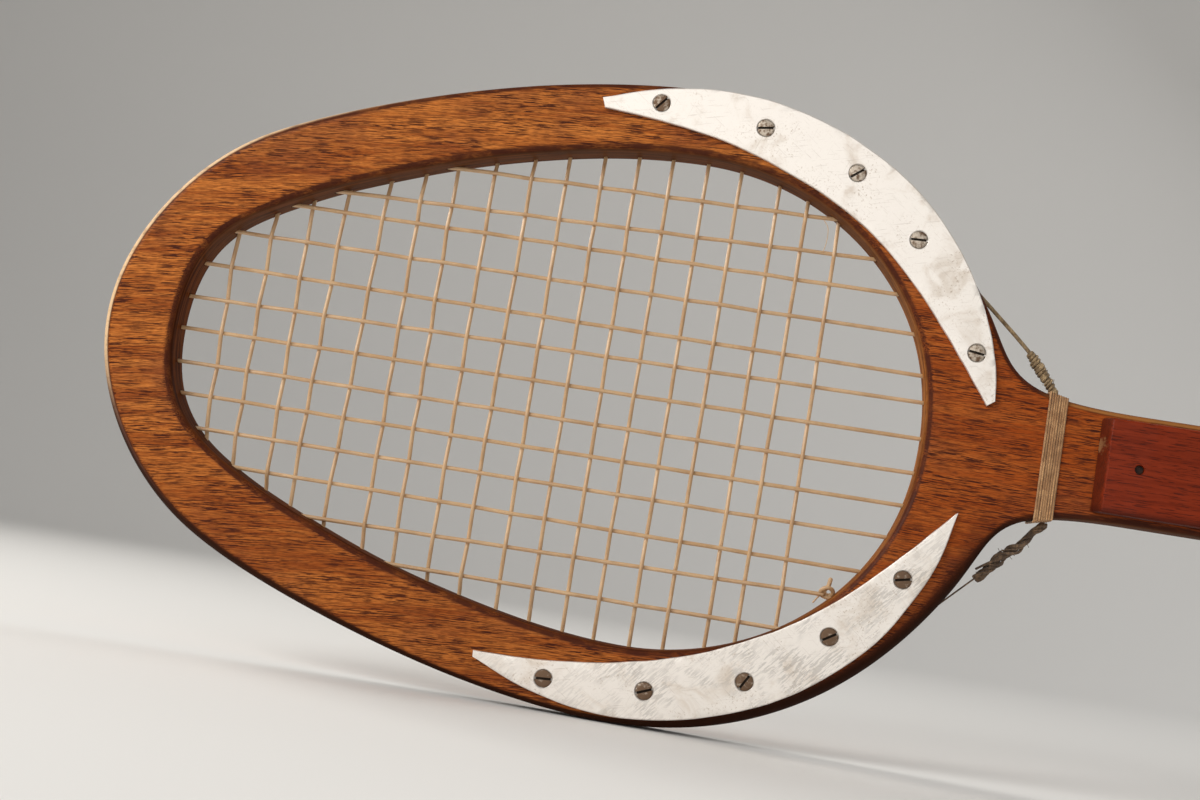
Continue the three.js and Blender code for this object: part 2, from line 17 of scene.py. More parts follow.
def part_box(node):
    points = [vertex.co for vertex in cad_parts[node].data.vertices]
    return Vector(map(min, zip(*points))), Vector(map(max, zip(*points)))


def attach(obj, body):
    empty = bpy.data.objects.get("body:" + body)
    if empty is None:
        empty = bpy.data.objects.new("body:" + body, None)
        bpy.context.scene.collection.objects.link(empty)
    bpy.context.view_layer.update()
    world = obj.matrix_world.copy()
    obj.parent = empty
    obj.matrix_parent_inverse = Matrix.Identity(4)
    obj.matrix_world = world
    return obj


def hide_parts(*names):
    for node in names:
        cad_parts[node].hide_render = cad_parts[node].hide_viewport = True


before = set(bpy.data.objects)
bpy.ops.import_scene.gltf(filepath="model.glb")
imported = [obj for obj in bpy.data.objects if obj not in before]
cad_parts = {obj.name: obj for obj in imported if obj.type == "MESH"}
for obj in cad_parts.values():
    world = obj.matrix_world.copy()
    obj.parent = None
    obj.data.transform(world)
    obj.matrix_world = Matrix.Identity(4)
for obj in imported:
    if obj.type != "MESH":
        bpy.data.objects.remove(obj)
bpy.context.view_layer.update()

MM = 0.001
TIP_X = -185
BUTT_X = 501
BELLY_X = 21  # where the hoop is widest
HOOP_HALF_WIDTH = 115.7
UPPER_TRIM = 2.1  # the upper side of the hoop is cut back, flush with its plate

frame_low, frame_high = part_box("frame")
DATUM = Vector((frame_low.x - TIP_X * MM, 0, frame_low.z + HOOP_HALF_WIDTH * MM))


def to_frame(points):
    """Points of the drawing, in millimetres, as metres in the frame."""
    return np.asarray(points, float) * MM + np.array(DATUM)


def to_drawing(point):
    """A point of the frame, in metres, as millimetres of the drawing."""
    return (Vector(point) - DATUM) / MM


# ------------------------------------------------------------------ the drawing

FRONT_Y = frame_low.y / MM
BACK_Y = frame_high.y / MM
EDGE_ROUND = 2.5
CORE_HALF_WIDTH = 19.3
BUTT_CORNER = 3.5
GROOVE_DEPTH = 2.2
GROOVE_HALF_WIDTH = 2.3
HOLE_RADIUS = 1.05
STRING_RADIUS = 0.75
STRING_INSET = 1.2  # centre of a string in the outer groove, below the wood
BED_Y = 3  # middle of the string bed
MAIN_Y = BED_Y - 1.1  # where the mains pass through the wood
CROSS_Y = BED_Y + 1.1  # where the crosses do
BACK_EXIT_X = 133
SHOULDER_SPLAY = 9


def half_edge(trim):
    """Bezier chain of half the outline, from the tip to the straight handle, its wide part cut
    back by trim."""
    wide = HOOP_HALF_WIDTH - trim
    return [
        (TIP_X, 0), (TIP_X, 29.6), (-165.2, 58), (-141.2, 72.7), (-112.1, 90.5), (-33.9, wide),
        (BELLY_X, wide), (78.7, wide), (113.3 - trim, 82.2 - trim),
        (131.9 - trim, 51.6 - trim / 2), (145.5 - trim, 29.1), (138.4, CORE_HALF_WIDTH),
        (189.3, CORE_HALF_WIDTH),
    ]


# Bezier chain of the upper half of the opening.
UPPER_OPENING = [
    (-158.7, 0), (-158.7, 28.5), (-145.5, 39.4), (-129.8, 48.2), (-97, 66.5), (-30.1, 89),
    (BELLY_X, 89), (69, 89), (114.7, 56.3), (114.7, 0),
]

# Heights of the mains' holes at the tip and at the throat, from the top one down.
MAIN_HOLES = [
    (73.5, 75), (58.5, 62.5), (51, 51), (38, 37.5), (24.5, 23), (11.5, 13.5), (-0.5, 0.5),
    (-13, -12), (-24.5, -24), (-36.5, -36), (-48.5, -49.5), (-62, -59.5), (-74, -74),
]
BACK_MAINS = range(3, 9)  # these turn through the back of the throat, in pairs
# Places of the crosses' holes in the upper and the lower wall, from the tip to the throat.
CROSS_HOLES = [
    (-144.5, -142.5), (-131.5, -131), (-118.5, -117), (-106, -107), (-91, -93.5), (-78.5, -78),
    (-67, -66), (-53, -52.5), (-39, -40), (-26.5, -26), (-13.5, -13.5), (-1, -1),
    (11.5, 10.5), (24.5, 23.5), (37, 35.5), (51.5, 50), (62.5, 60.5), (74.5, 74),
]

UPPER_PLATE = (
    [
        (-16.7, 104.7), (3, 110.6), (25, 113.3), (50, 110.9), (77, 101.6),
        (101, 86.3), (119.5, 65.5), (130.8, 44), (136, 27), (137, 16.4),
    ],
    [
        (134.4, 14.4), (122.9, 29.8), (106, 50.6), (88, 67.8), (66, 81.4),
        (35, 93.4), (8, 98.8), (-15.4, 101.2),
    ],
)
LOWER_PLATE = (
    [
        (-29.6, -100.9), (-11.2, -108.2), (10.9, -112.8), (32, -112.7), (53, -108.5),
        (75, -99.9), (92, -88.8), (108.5, -73), (119.1, -56.4), (126, -41.3), (129.9, -24.2),
    ],
    [
        (129.2, -24.6), (112.4, -42.8), (94, -60.3), (75.1, -73.9), (49.1, -86.6),
        (22, -94.3), (-5.8, -98), (-29.8, -98.6),
    ],
)
# Turn of each screw's slot, in degrees from the long axis.
UPPER_SLOTS = [50, 8, 38, 2, -8]
LOWER_SLOTS = [4, 22, 60, 32, 12]


def bezier_chain(corners, spacing=2.5):
    """Points of joined cubic Bezier curves, about spacing apart, the last one included."""
    corners = np.array(corners, float)
    made = []
    for i in range(0, len(corners) - 1, 3):
        a, b, c, d = corners[i : i + 4]
        steps = math.ceil(np.linalg.norm(d - a) / spacing)
        t = np.linspace(0, 1, steps, endpoint=False)[:, None]
        made.append((1 - t) ** 3 * a + 3 * (1 - t) ** 2 * t * b + 3 * (1 - t) * t**2 * c + t**3 * d)
    return np.vstack([*made, corners[-1:]])


def spline(corners, steps=8):
    """Points of the Catmull-Rom curve through the corners, all of them included."""
    p = np.array([corners[0], *corners, corners[-1]], float)
    t = np.linspace(0, 1, steps, endpoint=False)[:, None]
    made = []
    for a, b, c, d in zip(p, p[1:], p[2:], p[3:]):
        slope_b = (c - a) / 2
        slope_c = (d - b) / 2
        bend = 2 * b - 2 * c + slope_b + slope_c
        made.append(bend * t**3 + (3 * c - 3 * b - 2 * slope_b - slope_c) * t**2 + slope_b * t + b)
    return np.vstack([*made, p[-1:]])


def arc(centre, radius, first, last, count):
    """Points of a circle between two angles counted in quarter turns, both ends included."""
    turn = np.linspace(first, last, count) * math.pi / 2
    return np.array(centre) + radius * np.stack([np.cos(turn), np.sin(turn)], 1)


def closed(upper, lower):
    """A clockwise loop: out along an upper half, and back along the mirror image of a lower one."""
    back = lower[::-1] * (1, -1)
    keep = np.abs(back[:, 1]) > 1e-6
    return np.vstack([upper, back[keep]])


def outer_half(trim):
    hoop = bezier_chain(half_edge(trim))
    handle = [(x, CORE_HALF_WIDTH) for x in np.arange(hoop[-1, 0] + 12, BUTT_X - 5, 12)]
    middle = (BUTT_X - BUTT_CORNER, CORE_HALF_WIDTH - BUTT_CORNER)
    corner = arc(middle, BUTT_CORNER, 1, 0, 5)
    butt = [(BUTT_X, z) for z in (12, 6, 0)]
    return np.vstack([hoop, handle, corner, butt])


OUTER_LOOP = closed(outer_half(UPPER_TRIM), outer_half(0))
OPENING_LOOP = closed(bezier_chain(UPPER_OPENING), bezier_chain(UPPER_OPENING))


def inset(loop, distance):
    """A clockwise closed loop moved inwards, by one distance or by one for each point."""
    along = np.roll(loop, -1, 0) - np.roll(loop, 1, 0)
    along /= np.linalg.norm(along, axis=1)[:, None]
    inwards = np.stack([along[:, 1], -along[:, 0]], 1)
    return loop + inwards * np.reshape(distance, (-1, 1))


STRING_LOOP = inset(OUTER_LOOP, STRING_INSET)


TIP, THROAT = -1, 1  # which of two crossings with a line z = value is meant
LOWER, UPPER = -1, 1  # which of two crossings with a line x = value


def meet(loop, axis, value, side):
    """Where a loop crosses x = value (axis 0) or z = value (axis 1), counted in corners."""
    middle = (0, BELLY_X)[axis]
    for i, (start, end) in enumerate(zip(loop, np.roll(loop, -1, 0))):
        reach = end[axis] - start[axis]
        is_wanted = (start[1 - axis] - middle) * side > 0
        if reach and 0 <= (value - start[axis]) / reach < 1 and is_wanted:
            return i + (value - start[axis]) / reach
    raise ValueError(f"the loop has no point at {value}")


def place_on(loop, at):
    """The point (x, z) of a closed loop at a place counted in corners."""
    i = int(at)
    start, end = loop[i % len(loop)], loop[(i + 1) % len(loop)]
    return start + (end - start) * (at - i)


def crossing(loop, axis, value, side):
    """The point (x, z) at which meet() finds the loop."""
    return place_on(loop, meet(loop, axis, value, side))


def wander(count, seed, waves):
    """A slow random wave round a loop of count points, from about -1 to 1."""
    rng = random.Random(seed)
    turn = np.linspace(0, 2 * math.pi, count, endpoint=False)
    total = sum(
        rng.uniform(0.3, 1) * np.sin(k * turn + rng.uniform(0, 2 * math.pi))
        for k in range(2, 2 + waves)
    )
    return total / np.abs(total).max()


# ------------------------------------------------------------------ meshes


def placed(name, data):
    """A new object in the scene."""
    thing = bpy.data.objects.new(name, data)
    bpy.context.scene.collection.objects.link(thing)
    return thing


def add_piece(name, mesh_data, material, nodes, sharp=35):
    """Puts a finished mesh, drawn in millimetres, in the frame in place of its CAD nodes."""
    positions = np.empty(len(mesh_data.vertices) * 3)
    mesh_data.vertices.foreach_get("co", positions)
    mesh_data.vertices.foreach_set("co", to_frame(positions.reshape(-1, 3)).ravel())
    mesh_data.materials.clear()
    mesh_data.materials.append(material)
    mesh_data.shade_smooth()
    mesh_data.set_sharp_from_angle(angle=math.radians(sharp))
    for face in mesh_data.polygons:
        face.use_smooth = abs(face.normal.y) < 0.99999
    mesh_data.name = name
    piece = placed(name, mesh_data)
    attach(piece, "root")
    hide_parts(*nodes)


def mesh_of(bm):
    """The mesh of a bmesh, its faces turned outwards."""
    bmesh.ops.recalc_face_normals(bm, faces=bm.faces)
    made = bpy.data.meshes.new("drawn")
    bm.to_mesh(made)
    bm.free()
    return made


def band(bm, rings):
    """Quads between neighbouring closed rings of the same length. Returns the vertices by ring."""
    rows = [[bm.verts.new(p) for p in ring] for ring in rings]
    for lower, upper in zip(rows, rows[1:]):
        for i in range(len(lower)):
            j = (i + 1) % len(lower)
            bm.faces.new((lower[i], lower[j], upper[j], upper[i]))
    return rows


def is_inside(points, loop):
    """For each point (x, z), whether it lies inside a closed loop."""
    x, z = points[:, 0:1], points[:, 1:2]
    x0, z0 = loop[:, 0], loop[:, 1]
    x1, z1 = np.roll(x0, -1), np.roll(z0, -1)
    rise = np.where(z1 == z0, 1e-12, z1 - z0)
    hits = ((z0 > z) != (z1 > z)) & (x < (x1 - x0) * (z - z0) / rise + x0)
    return hits.sum(1) % 2 == 1


def is_on_face(points, outer, *holes):
    """For each point (x, z), whether it lies inside the outer loop and outside its holes."""
    made = is_inside(points, outer)
    for hole in holes:
        made &= ~is_inside(points, hole)
    return made


def cap(bm, rows, spacing):
    """Fills the flat face bounded by an outer row of vertices and the rows of its holes.
    With a spacing, the face gets inner vertices that far apart."""
    border = [v for row in rows for v in row]
    flat = np.array([(v.co.x, v.co.z) for v in border])
    loops, edges = [], []
    start = 0
    for row in rows:
        count = len(row)
        loops.append(flat[start : start + count])
        edges += [(start + i, start + (i + 1) % count) for i in range(count)]
        start += count
    points = flat
    if spacing:
        low, high = flat.min(0), flat.max(0)
        grid_x = np.arange(low[0], high[0], spacing)
        grid_z = np.arange(low[1], high[1], spacing)
        grid = np.array([(x, z) for x in grid_x for z in grid_z])
        grid = grid[is_on_face(grid, *loops)]
        gap = np.linalg.norm(grid[:, None] - flat[None], axis=2).min(1)
        points = np.vstack([flat, grid[gap > 0.6 * spacing]])
    found = geometry.delaunay_2d_cdt([Vector(p) for p in points], edges, [], 1, 1e-7)
    source = [origin[0] for origin in found[3]]
    faces = [[source[i] for i in face] for face in found[2]]
    keep = is_on_face(np.array([points[face].mean(0) for face in faces]), *loops)
    level = border[0].co.y
    verts = border + [bm.verts.new((x, level, z)) for x, z in points[len(flat) :]]
    for face, kept in zip(faces, keep):
        if kept:
            bm.faces.new([verts[i] for i in face])


def board(outer, holes, spacing=0):
    """A flat solid. outer and each hole are rings (x, y, z), from the front face to the back."""
    bm = bmesh.new()
    skins = [band(bm, rings) for rings in (outer, *holes)]
    cap(bm, [skin[0] for skin in skins], spacing)
    cap(bm, [skin[-1] for skin in skins], 0)
    return mesh_of(bm)


def ring(loop, y):
    """A flat loop (x, z) at a depth y, the same for all points or one for each."""
    return np.stack([loop[:, 0], np.broadcast_to(y, len(loop)), loop[:, 1]], 1)


def circle(x, z, radius, count):
    return arc((x, z), radius, 0, -4, count + 1)[:-1]


def lathe(profile, sides, wobble, seed):
    """A turned solid: profile is (radius, height) from one end to the other, height along -y."""
    bm = bmesh.new()
    uneven = 1 + wobble * wander(sides, seed, 5)
    rings = [ring(circle(0, 0, 1, sides) * r * uneven[:, None], -height) for r, height in profile]
    rows = band(bm, rings)
    bm.faces.new(rows[0])
    bm.faces.new(rows[-1])
    return mesh_of(bm)


def tube(centres, radius, sides=12):
    """Vertices and faces of a round string along a list of points, with rounded ends."""
    centres = np.array(centres, float)
    keep = np.r_[True, np.linalg.norm(np.diff(centres, axis=0), axis=1) > 1e-4]
    centres = centres[keep]
    radii = np.broadcast_to(radius, len(keep))[keep]
    along = np.gradient(centres, axis=0)
    along /= np.linalg.norm(along, axis=1)[:, None]
    first, last = along[0] * radii[0], along[-1] * radii[-1]
    centres = np.vstack([centres[0] - 0.5 * first, centres, centres[-1] + 0.5 * last])
    along = np.vstack([along[:1], along, along[-1:]])
    radii = np.r_[radii[0] * 0.5, radii, radii[-1] * 0.5]
    turn = np.linspace(0, 2 * math.pi, sides, endpoint=False)
    side = Vector(along[0]).orthogonal().normalized()
    verts = []
    for i, centre in enumerate(centres):
        if i:
            side = Vector(along[i - 1]).rotation_difference(Vector(along[i])) @ side
        across = Vector(along[i]).cross(side)
        round_it = np.outer(np.cos(turn), side) + np.outer(np.sin(turn), across)
        verts.append(centre + radii[i] * round_it)
    faces = [
        (i * sides + j, i * sides + k, (i + 1) * sides + k, (i + 1) * sides + j)
        for i in range(len(centres) - 1)
        for j, k in zip(range(sides), [*range(1, sides), 0])
    ]
    faces += [tuple(range(sides)), tuple(range((len(centres) - 1) * sides, len(centres) * sides))]
    return np.vstack(verts), faces


def mesh_of_tubes(*tubes):
    """One mesh of several tubes."""
    verts, faces = [], []
    for tube_verts, tube_faces in tubes:
        faces += [tuple(i + len(verts) for i in face) for face in tube_faces]
        verts += list(tube_verts)
    made = bpy.data.meshes.new("drawn")
    made.from_pydata(verts, [], faces)
    bm = bmesh.new()
    bm.from_mesh(made)
    bpy.data.meshes.remove(made)
    return mesh_of(bm)


def carve(mesh_data, *cutters):
    """The mesh with the cutters, also meshes, taken out of it one after the other."""
    body = placed("body", mesh_data)
    tools = []
    for cutter in cutters:
        tool = placed("tool", cutter)
        cut = body.modifiers.new("cut", "BOOLEAN")
        cut.object = tool
        cut.operation = "DIFFERENCE"
        cut.solver = "MANIFOLD"
        tools.append(tool)
    graph = bpy.context.evaluated_depsgraph_get()
    made = bpy.data.meshes.new_from_object(body.evaluated_get(graph))
    for thing in (body, *tools):
        bpy.data.objects.remove(thing)
    return made


def eased(points, reach, steps=4):
    """A line with each corner turned into a short curve that starts reach before it."""
    points = [np.array(p, float) for p in points]
    made = [points[0]]
    for before, corner, after in zip(points, points[1:], points[2:]):
        arriving, leaving = before - corner, after - corner
        near, far = np.linalg.norm(arriving), np.linalg.norm(leaving)
        start = corner + arriving * min(reach / near, 0.45)
        end = corner + leaving * min(reach / far, 0.45)
        is_straight = np.dot(arriving, leaving) < -0.996 * near * far
        for t in [0.5] if is_straight else np.linspace(0, 1, steps + 1):
            made.append((1 - t) ** 2 * start + 2 * t * (1 - t) * corner + t**2 * end)
    made.append(points[-1])
    return made


def coiled(start, end, turns, radius, phase, steps=14):
    """A helix round the line from start to end; radius is a function of 0 to 1."""
    start, end = Vector(start), Vector(end)
    axis = (end - start).normalized()
    side = axis.orthogonal().normalized()
    across = axis.cross(side)
    made = []
    for i in range(int(turns * steps) + 1):
        share = i / (turns * steps)
        angle = phase + 2 * math.pi * i / steps
        round_it = math.cos(angle) * side + math.sin(angle) * across
        made.append(start.lerp(end, share) + radius(share) * round_it)
    return made


# ------------------------------------------------------------------ where the strings run

JITTER = random.Random(7)
NUDGE = 0.6  # by which a cross moves a main
WEAVE = 0.95  # from the mains' plane to a cross, before the bends are eased
NEAR_WALL = 4  # a cross this near to a wall does not move the main
STEEP = 5  # nearer to a wall than this, a cross stays behind the main


def at_depth(place, y):
    return np.array((place[0], y, place[1]))


class Main:
    """A main: its holes in the walls of the opening, and where it leaves the hoop."""

    def __init__(self, number, tip_z, throat_z):
        self.goes_back = number in BACK_MAINS
        self.tip_wall = crossing(OPENING_LOOP, 1, tip_z, TIP)
        self.throat_wall = crossing(OPENING_LOOP, 1, throat_z, THROAT)
        self.tip_place = meet(STRING_LOOP, 1, tip_z, TIP)
        self.tip_exit = at_depth(place_on(STRING_LOOP, self.tip_place), MAIN_Y)
        self.entry = at_depth(self.tip_wall, MAIN_Y) - (1, 0, 0)
        self.bend = at_depth(self.throat_wall, MAIN_Y) + (1, 0, 0)
        if self.goes_back:
            self.exit = np.array((BACK_EXIT_X, BACK_Y - STRING_INSET, throat_z))
            return
        exit_z = throat_z + math.copysign(SHOULDER_SPLAY, throat_z)
        self.exit_place = meet(STRING_LOOP, 1, exit_z, THROAT)
        self.exit = at_depth(place_on(STRING_LOOP, self.exit_place), MAIN_Y)

    def at(self, x):
        """The main's height at x."""
        share = (x - self.tip_wall[0]) / (self.throat_wall[0] - self.tip_wall[0])
        return self.tip_wall[1] + (self.throat_wall[1] - self.tip_wall[1]) * share


class Cross:
    """A cross: its holes in the walls of the opening, and where it leaves the hoop."""

    def __init__(self, upper_x, lower_x):
        self.upper_wall = crossing(OPENING_LOOP, 0, upper_x, UPPER)
        self.lower_wall = crossing(OPENING_LOOP, 0, lower_x, LOWER)
        self.upper_place = meet(STRING_LOOP, 0, upper_x, UPPER)
        self.lower_place = meet(STRING_LOOP, 0, lower_x, LOWER)
        self.upper_exit = at_depth(place_on(STRING_LOOP, self.upper_place), CROSS_Y)
        self.lower_exit = at_depth(place_on(STRING_LOOP, self.lower_place), CROSS_Y)

    def meets(self, main):
        """Where it passes a main, and how far that is from the nearer wall."""
        (x0, z0), (x1, z1) = self.lower_wall, self.upper_wall
        x = x0 + (x1 - x0) * (main.at((x0 + x1) / 2) - z0) / (z1 - z0)
        z = main.at(x)
        return x, z, min(z - z0, z1 - z)


MAINS = [Main(i, *heights) for i, heights in enumerate(MAIN_HOLES)]
CROSSES = [Cross(*places) for places in CROSS_HOLES]


def passes_in_front(main, cross):
    """Whether cross number cross goes over the front of main number main."""
    return (main + cross) % 2 == 0 and CROSSES[cross].meets(MAINS[main])[2] > STEEP


def stretch(start, end, y):
    """Points round the rim between two places on the string loop."""
    count = max(2, round(abs(end - start)) + 1)
    return [at_depth(place_on(STRING_LOOP, at), y) for at in np.linspace(start, end, count)[1:-1]]


def main_run(number):
    """A main from its tip end to its throat end, nudged aside by every cross."""
    main = MAINS[number]
    points = [main.tip_exit, main.entry]
    for i, cross in enumerate(CROSSES):
        x, z, _ = cross.meets(main)
        if main.tip_wall[0] + NEAR_WALL < x < main.throat_wall[0] - NEAR_WALL:
            nudge = NUDGE if passes_in_front(number, i) else -NUDGE
            points.append((x, MAIN_Y + nudge, z + JITTER.uniform(-0.12, 0.12)))
    return [*points, main.bend, main.exit]


def cross_run(number):
    """A cross from its lower end to its upper end, over and under the mains."""
    cross = CROSSES[number]
    points = [cross.lower_exit, at_depth(cross.lower_wall, CROSS_Y) + (0, 0, 1)]
    for i in reversed(range(len(MAINS))):
        x, z, to_wall = cross.meets(MAINS[i])
        if to_wall > 2 * STRING_RADIUS:
            side = -WEAVE if passes_in_front(i, number) else WEAVE
            points.append((x + JITTER.uniform(-0.12, 0.12), MAIN_Y + side, z))
    return [*points, at_depth(cross.upper_wall, CROSS_Y) - (0, 0, 1), cross.upper_exit]


KNOTTED = MAINS[-2]
KNOT_X = KNOTTED.throat_wall[0] - 3.4


def main_path():
    """The main string: up and down through mains 12 to 1, round the rim between them."""
    path = [(KNOT_X, MAIN_Y, KNOTTED.at(KNOT_X))]
    count = len(MAINS)
    for i in range(count - 2, -1, -1):
        main, following = MAINS[i], MAINS[i - 1]
        to_tip = (count - i) % 2 == 0
        run = main_run(i)
        if main is KNOTTED:
            run = run[:-2]
        path += run[::-1] if to_tip else run
        if i and to_tip:
            path += stretch(main.tip_place, following.tip_place, MAIN_Y)
        elif i and not main.goes_back:
            path += stretch(main.exit_place, following.exit_place, MAIN_Y)
    return eased(path, 2)


def cross_path():
    """The cross string: along the lowest main, then to and fro from the throat to the tip."""
    lowest = MAINS[-1]
    path = [lowest.tip_exit + (3, 0, 0), *main_run(len(MAINS) - 1)[1:]]
    landing = stretch(lowest.exit_place, CROSSES[-1].lower_place, MAIN_Y)
    for i, point in enumerate(landing, 1):
        point[1] += (CROSS_Y - MAIN_Y) * i / (len(landing) + 1)
    path += landing
    for i in range(len(CROSSES) - 1, -1, -1):
        goes_up = (len(CROSSES) - 1 - i) % 2 == 0
        path += cross_run(i) if goes_up else cross_run(i)[::-1]
        if i:
            end = "upper_place" if goes_up else "lower_place"
            path += stretch(getattr(CROSSES[i], end), getattr(CROSSES[i - 1], end), CROSS_Y)
    return eased(path, 2)


# ------------------------------------------------------------------ materials


class Shade:
    """One material under construction: each method adds a node and returns what it gives."""

    def __init__(self, name):
        self.material = bpy.data.materials.new(name)
        self.material.use_nodes = True
        self.tree = self.material.node_tree
        self.surface = self.tree.nodes["Principled BSDF"]
        place = self.node("ShaderNodeTexCoord", output="Object")
        shift = self.vector("SUBTRACT", place, tuple(DATUM))
        self.place = self.vector("SCALE", shift, scale=1 / MM)
        self.x, self.y, self.z = self.split(self.place)
        facing = self.node("ShaderNodeNewGeometry", output="Normal")
        self.facing_x, self.facing_y, self.facing_z = self.split(facing)

    def feed(self, socket, value):
        if isinstance(value, bpy.types.NodeSocket):
            self.tree.links.new(value, socket)
        elif socket.type == "RGBA":
            socket.default_value = (*value, 1)
        else:
            socket.default_value = value

    def node(self, kind, inputs=None, output=0, **settings):
        made = self.tree.nodes.new(kind)
        for name, value in settings.items():
            setattr(made, name, value)
        for socket, value in (inputs or {}).items():
            self.feed(made.inputs[socket], value)
        return made.outputs[output]

    def split(self, vector):
        """The x, y and z of a vector."""
        made = self.tree.nodes.new("ShaderNodeSeparateXYZ")
        self.feed(made.inputs[0], vector)
        return made.outputs

    def joined(self, x, y, z):
        return self.node("ShaderNodeCombineXYZ", {0: x, 1: y, 2: z})

    def number(self, operation, *values):
        return self.node("ShaderNodeMath", dict(enumerate(values)), operation=operation)

    def times(self, first, *others):
        for other in others:
            first = self.number("MULTIPLY", first, other)
        return first

    def vector(self, operation, *values, scale=None):
        inputs = dict(enumerate(values))
        if scale is not None:
            inputs["Scale"] = scale
        output = "Value" if operation == "LENGTH" else "Vector"
        return self.node("ShaderNodeVectorMath", inputs, output, operation=operation)

    def noise(self, where, scale=1, detail=2, roughness=0.5, distortion=0):
        inputs = {
            "Vector": where,
            "Scale": scale,
            "Detail": detail,
            "Roughness": roughness,
            "Distortion": distortion,
        }
        return self.node("ShaderNodeTexNoise", inputs)

    def cloud(self, scale, detail=2, roughness=0.5, distortion=0):
        """Noise that fills the whole object, scale waves to a millimetre."""
        return self.noise(self.place, scale, detail, roughness, distortion)

    def remap(self, value, low, high, to_low=0, to_high=1):
        inputs = {"Value": value, 1: low, 2: high, 3: to_low, 4: to_high}
        return self.node("ShaderNodeMapRange", inputs, interpolation_type="SMOOTHSTEP")

    def mix(self, share, first, second):
        made = self.tree.nodes.new("ShaderNodeMix")
        made.data_type = "RGBA"
        for socket, value in (("Factor", share), ("A", first), ("B", second)):
            matching = [s for s in made.inputs if s.name == socket and s.enabled]
            self.feed(matching[0], value)
        return next(s for s in made.outputs if s.enabled)

    def coat(self, tone, colour, *masks):
        """The tone with a colour over it, as strong as the product of the masks."""
        return self.mix(self.times(*masks), tone, colour)

    def bump(self, height, depth, below=None):
        """A relief depth millimetres deep where height goes from 0 to 1."""
        inputs = {"Height": height, "Distance": depth * MM, "Strength": 1}
        if below is not None:
            inputs["Normal"] = below
        return self.node("ShaderNodeBump", inputs)

    def dents(self, mask, depth, below=None):
        """A relief sunk depth millimetres where the mask is 1."""
        return self.bump(self.times(mask, -1), depth, below)

    def finish(self, **inputs):
        for name, value in inputs.items():
            self.feed(self.surface.inputs[name.replace("_", " ")], value)
        return self.material


def along_grain(shade, length, pitch, curve=0.00026):
    """Places in wood whose grain runs along x and sweeps down towards the tip of the hoop.
    Noise there has waves of the length along the grain and of the pitch across it."""
    towards_tip = shade.number("MAXIMUM", shade.number("SUBTRACT", 100, shade.x), 0)
    sweep = shade.times(shade.number("POWER", towards_tip, 2), curve)
    across = shade.number("ADD", shade.z, sweep)
    return shade.joined(
        shade.number("DIVIDE", shade.x, length),
        shade.number("DIVIDE", shade.y, pitch),
        shade.number("DIVIDE", across, pitch),
    )


def streaks(shade, length, pitch, low, high, detail, distortion):
    """Dark pores of the hardwood as a mask: 1 in a pore."""
    where = along_grain(shade, length, pitch)
    return shade.remap(shade.noise(where, 1, detail, 0.55, distortion), low, high)


def hardwood():
    shade = Shade("varnished_hardwood")
    crowd = shade.noise(along_grain(shade, 28, 4), 1, 2)
    pores = streaks(shade, 8, 0.4, 0.49, 0.56, 3, 0.15)
    pores = shade.times(pores, shade.remap(crowd, 0.33, 0.6, 0.4, 1))
    fine = streaks(shade, 3.6, 0.2, 0.49, 0.6, 1, 0.1)
    tone = heartwood(shade)
    tone = shade.coat(tone, (0.11, 0.024, 0.006), fine, 0.55)
    tone = shade.coat(tone, (0.046, 0.011, 0.007), pores, 0.95)
    tone = edge_finish(shade, tone)
    relief = shade.dents(fine, 0.015, shade.dents(pores, 0.04))
    relief = shade.bump(shade.cloud(0.16), 0.3, relief)
    return shade.finish(
        Base_Color=tone,
        Roughness=shade.remap(shade.cloud(0.11, 3, 0.6), 0.35, 0.7, 0.4, 0.56),
        Normal=relief,
        Specular_IOR_Level=0,
        Coat_Weight=0.12,
        Coat_Roughness=0.3,
        Coat_IOR=1.4,
    )


def heartwood(shade):
    """The wood between its pores: orange bands, redder at the throat and browner low down."""
    bands = shade.noise(along_grain(shade, 160, 8), 1, 3, 0.6, 0.2)
    figure = shade.noise(along_grain(shade, 24, 1.2), 1, 3, 0.6, 0.3)
    blend = shade.number("ADD", shade.times(bands, 0.5), shade.times(figure, 0.5))
    tone = shade.mix(shade.remap(blend, 0.38, 0.62), (0.61, 0.2, 0.04), (0.32, 0.079, 0.014))
    tone = shade.coat(tone, (0.335, 0.052, 0.005), shade.remap(shade.x, 40, 160), 0.7)
    tone = shade.coat(tone, (0.22, 0.045, 0.009), shade.remap(shade.z, 0, -95), 0.3)
    smoke = shade.remap(shade.cloud(0.03, 4, 0.65), 0.48, 0.68, 0, 0.4)
    return shade.coat(tone, (0.15, 0.042, 0.024), smoke)


def edge_finish(shade, tone):
    """Hardwood corners and walls: painted shade and light, dust, bare wood, one over the other."""
    level = shade.number("ABSOLUTE", shade.facing_y)  # 1 on the flat faces, 0 on the walls
    sideways = shade.remap(level, 0.75, 0.3)
    patches = shade.noise(along_grain(shade, 9, 3), 1, 4, 0.65)
    patches = shade.remap(patches, 0.3, 0.55, 0.5, 1)
    tone = shaded_corners_and_lit_dusty_walls(shade, tone, level, sideways, patches)
    tone = bare_corners_and_painted_light(shade, tone, level, patches)
    return shaded_edges(shade, tone, sideways, patches)


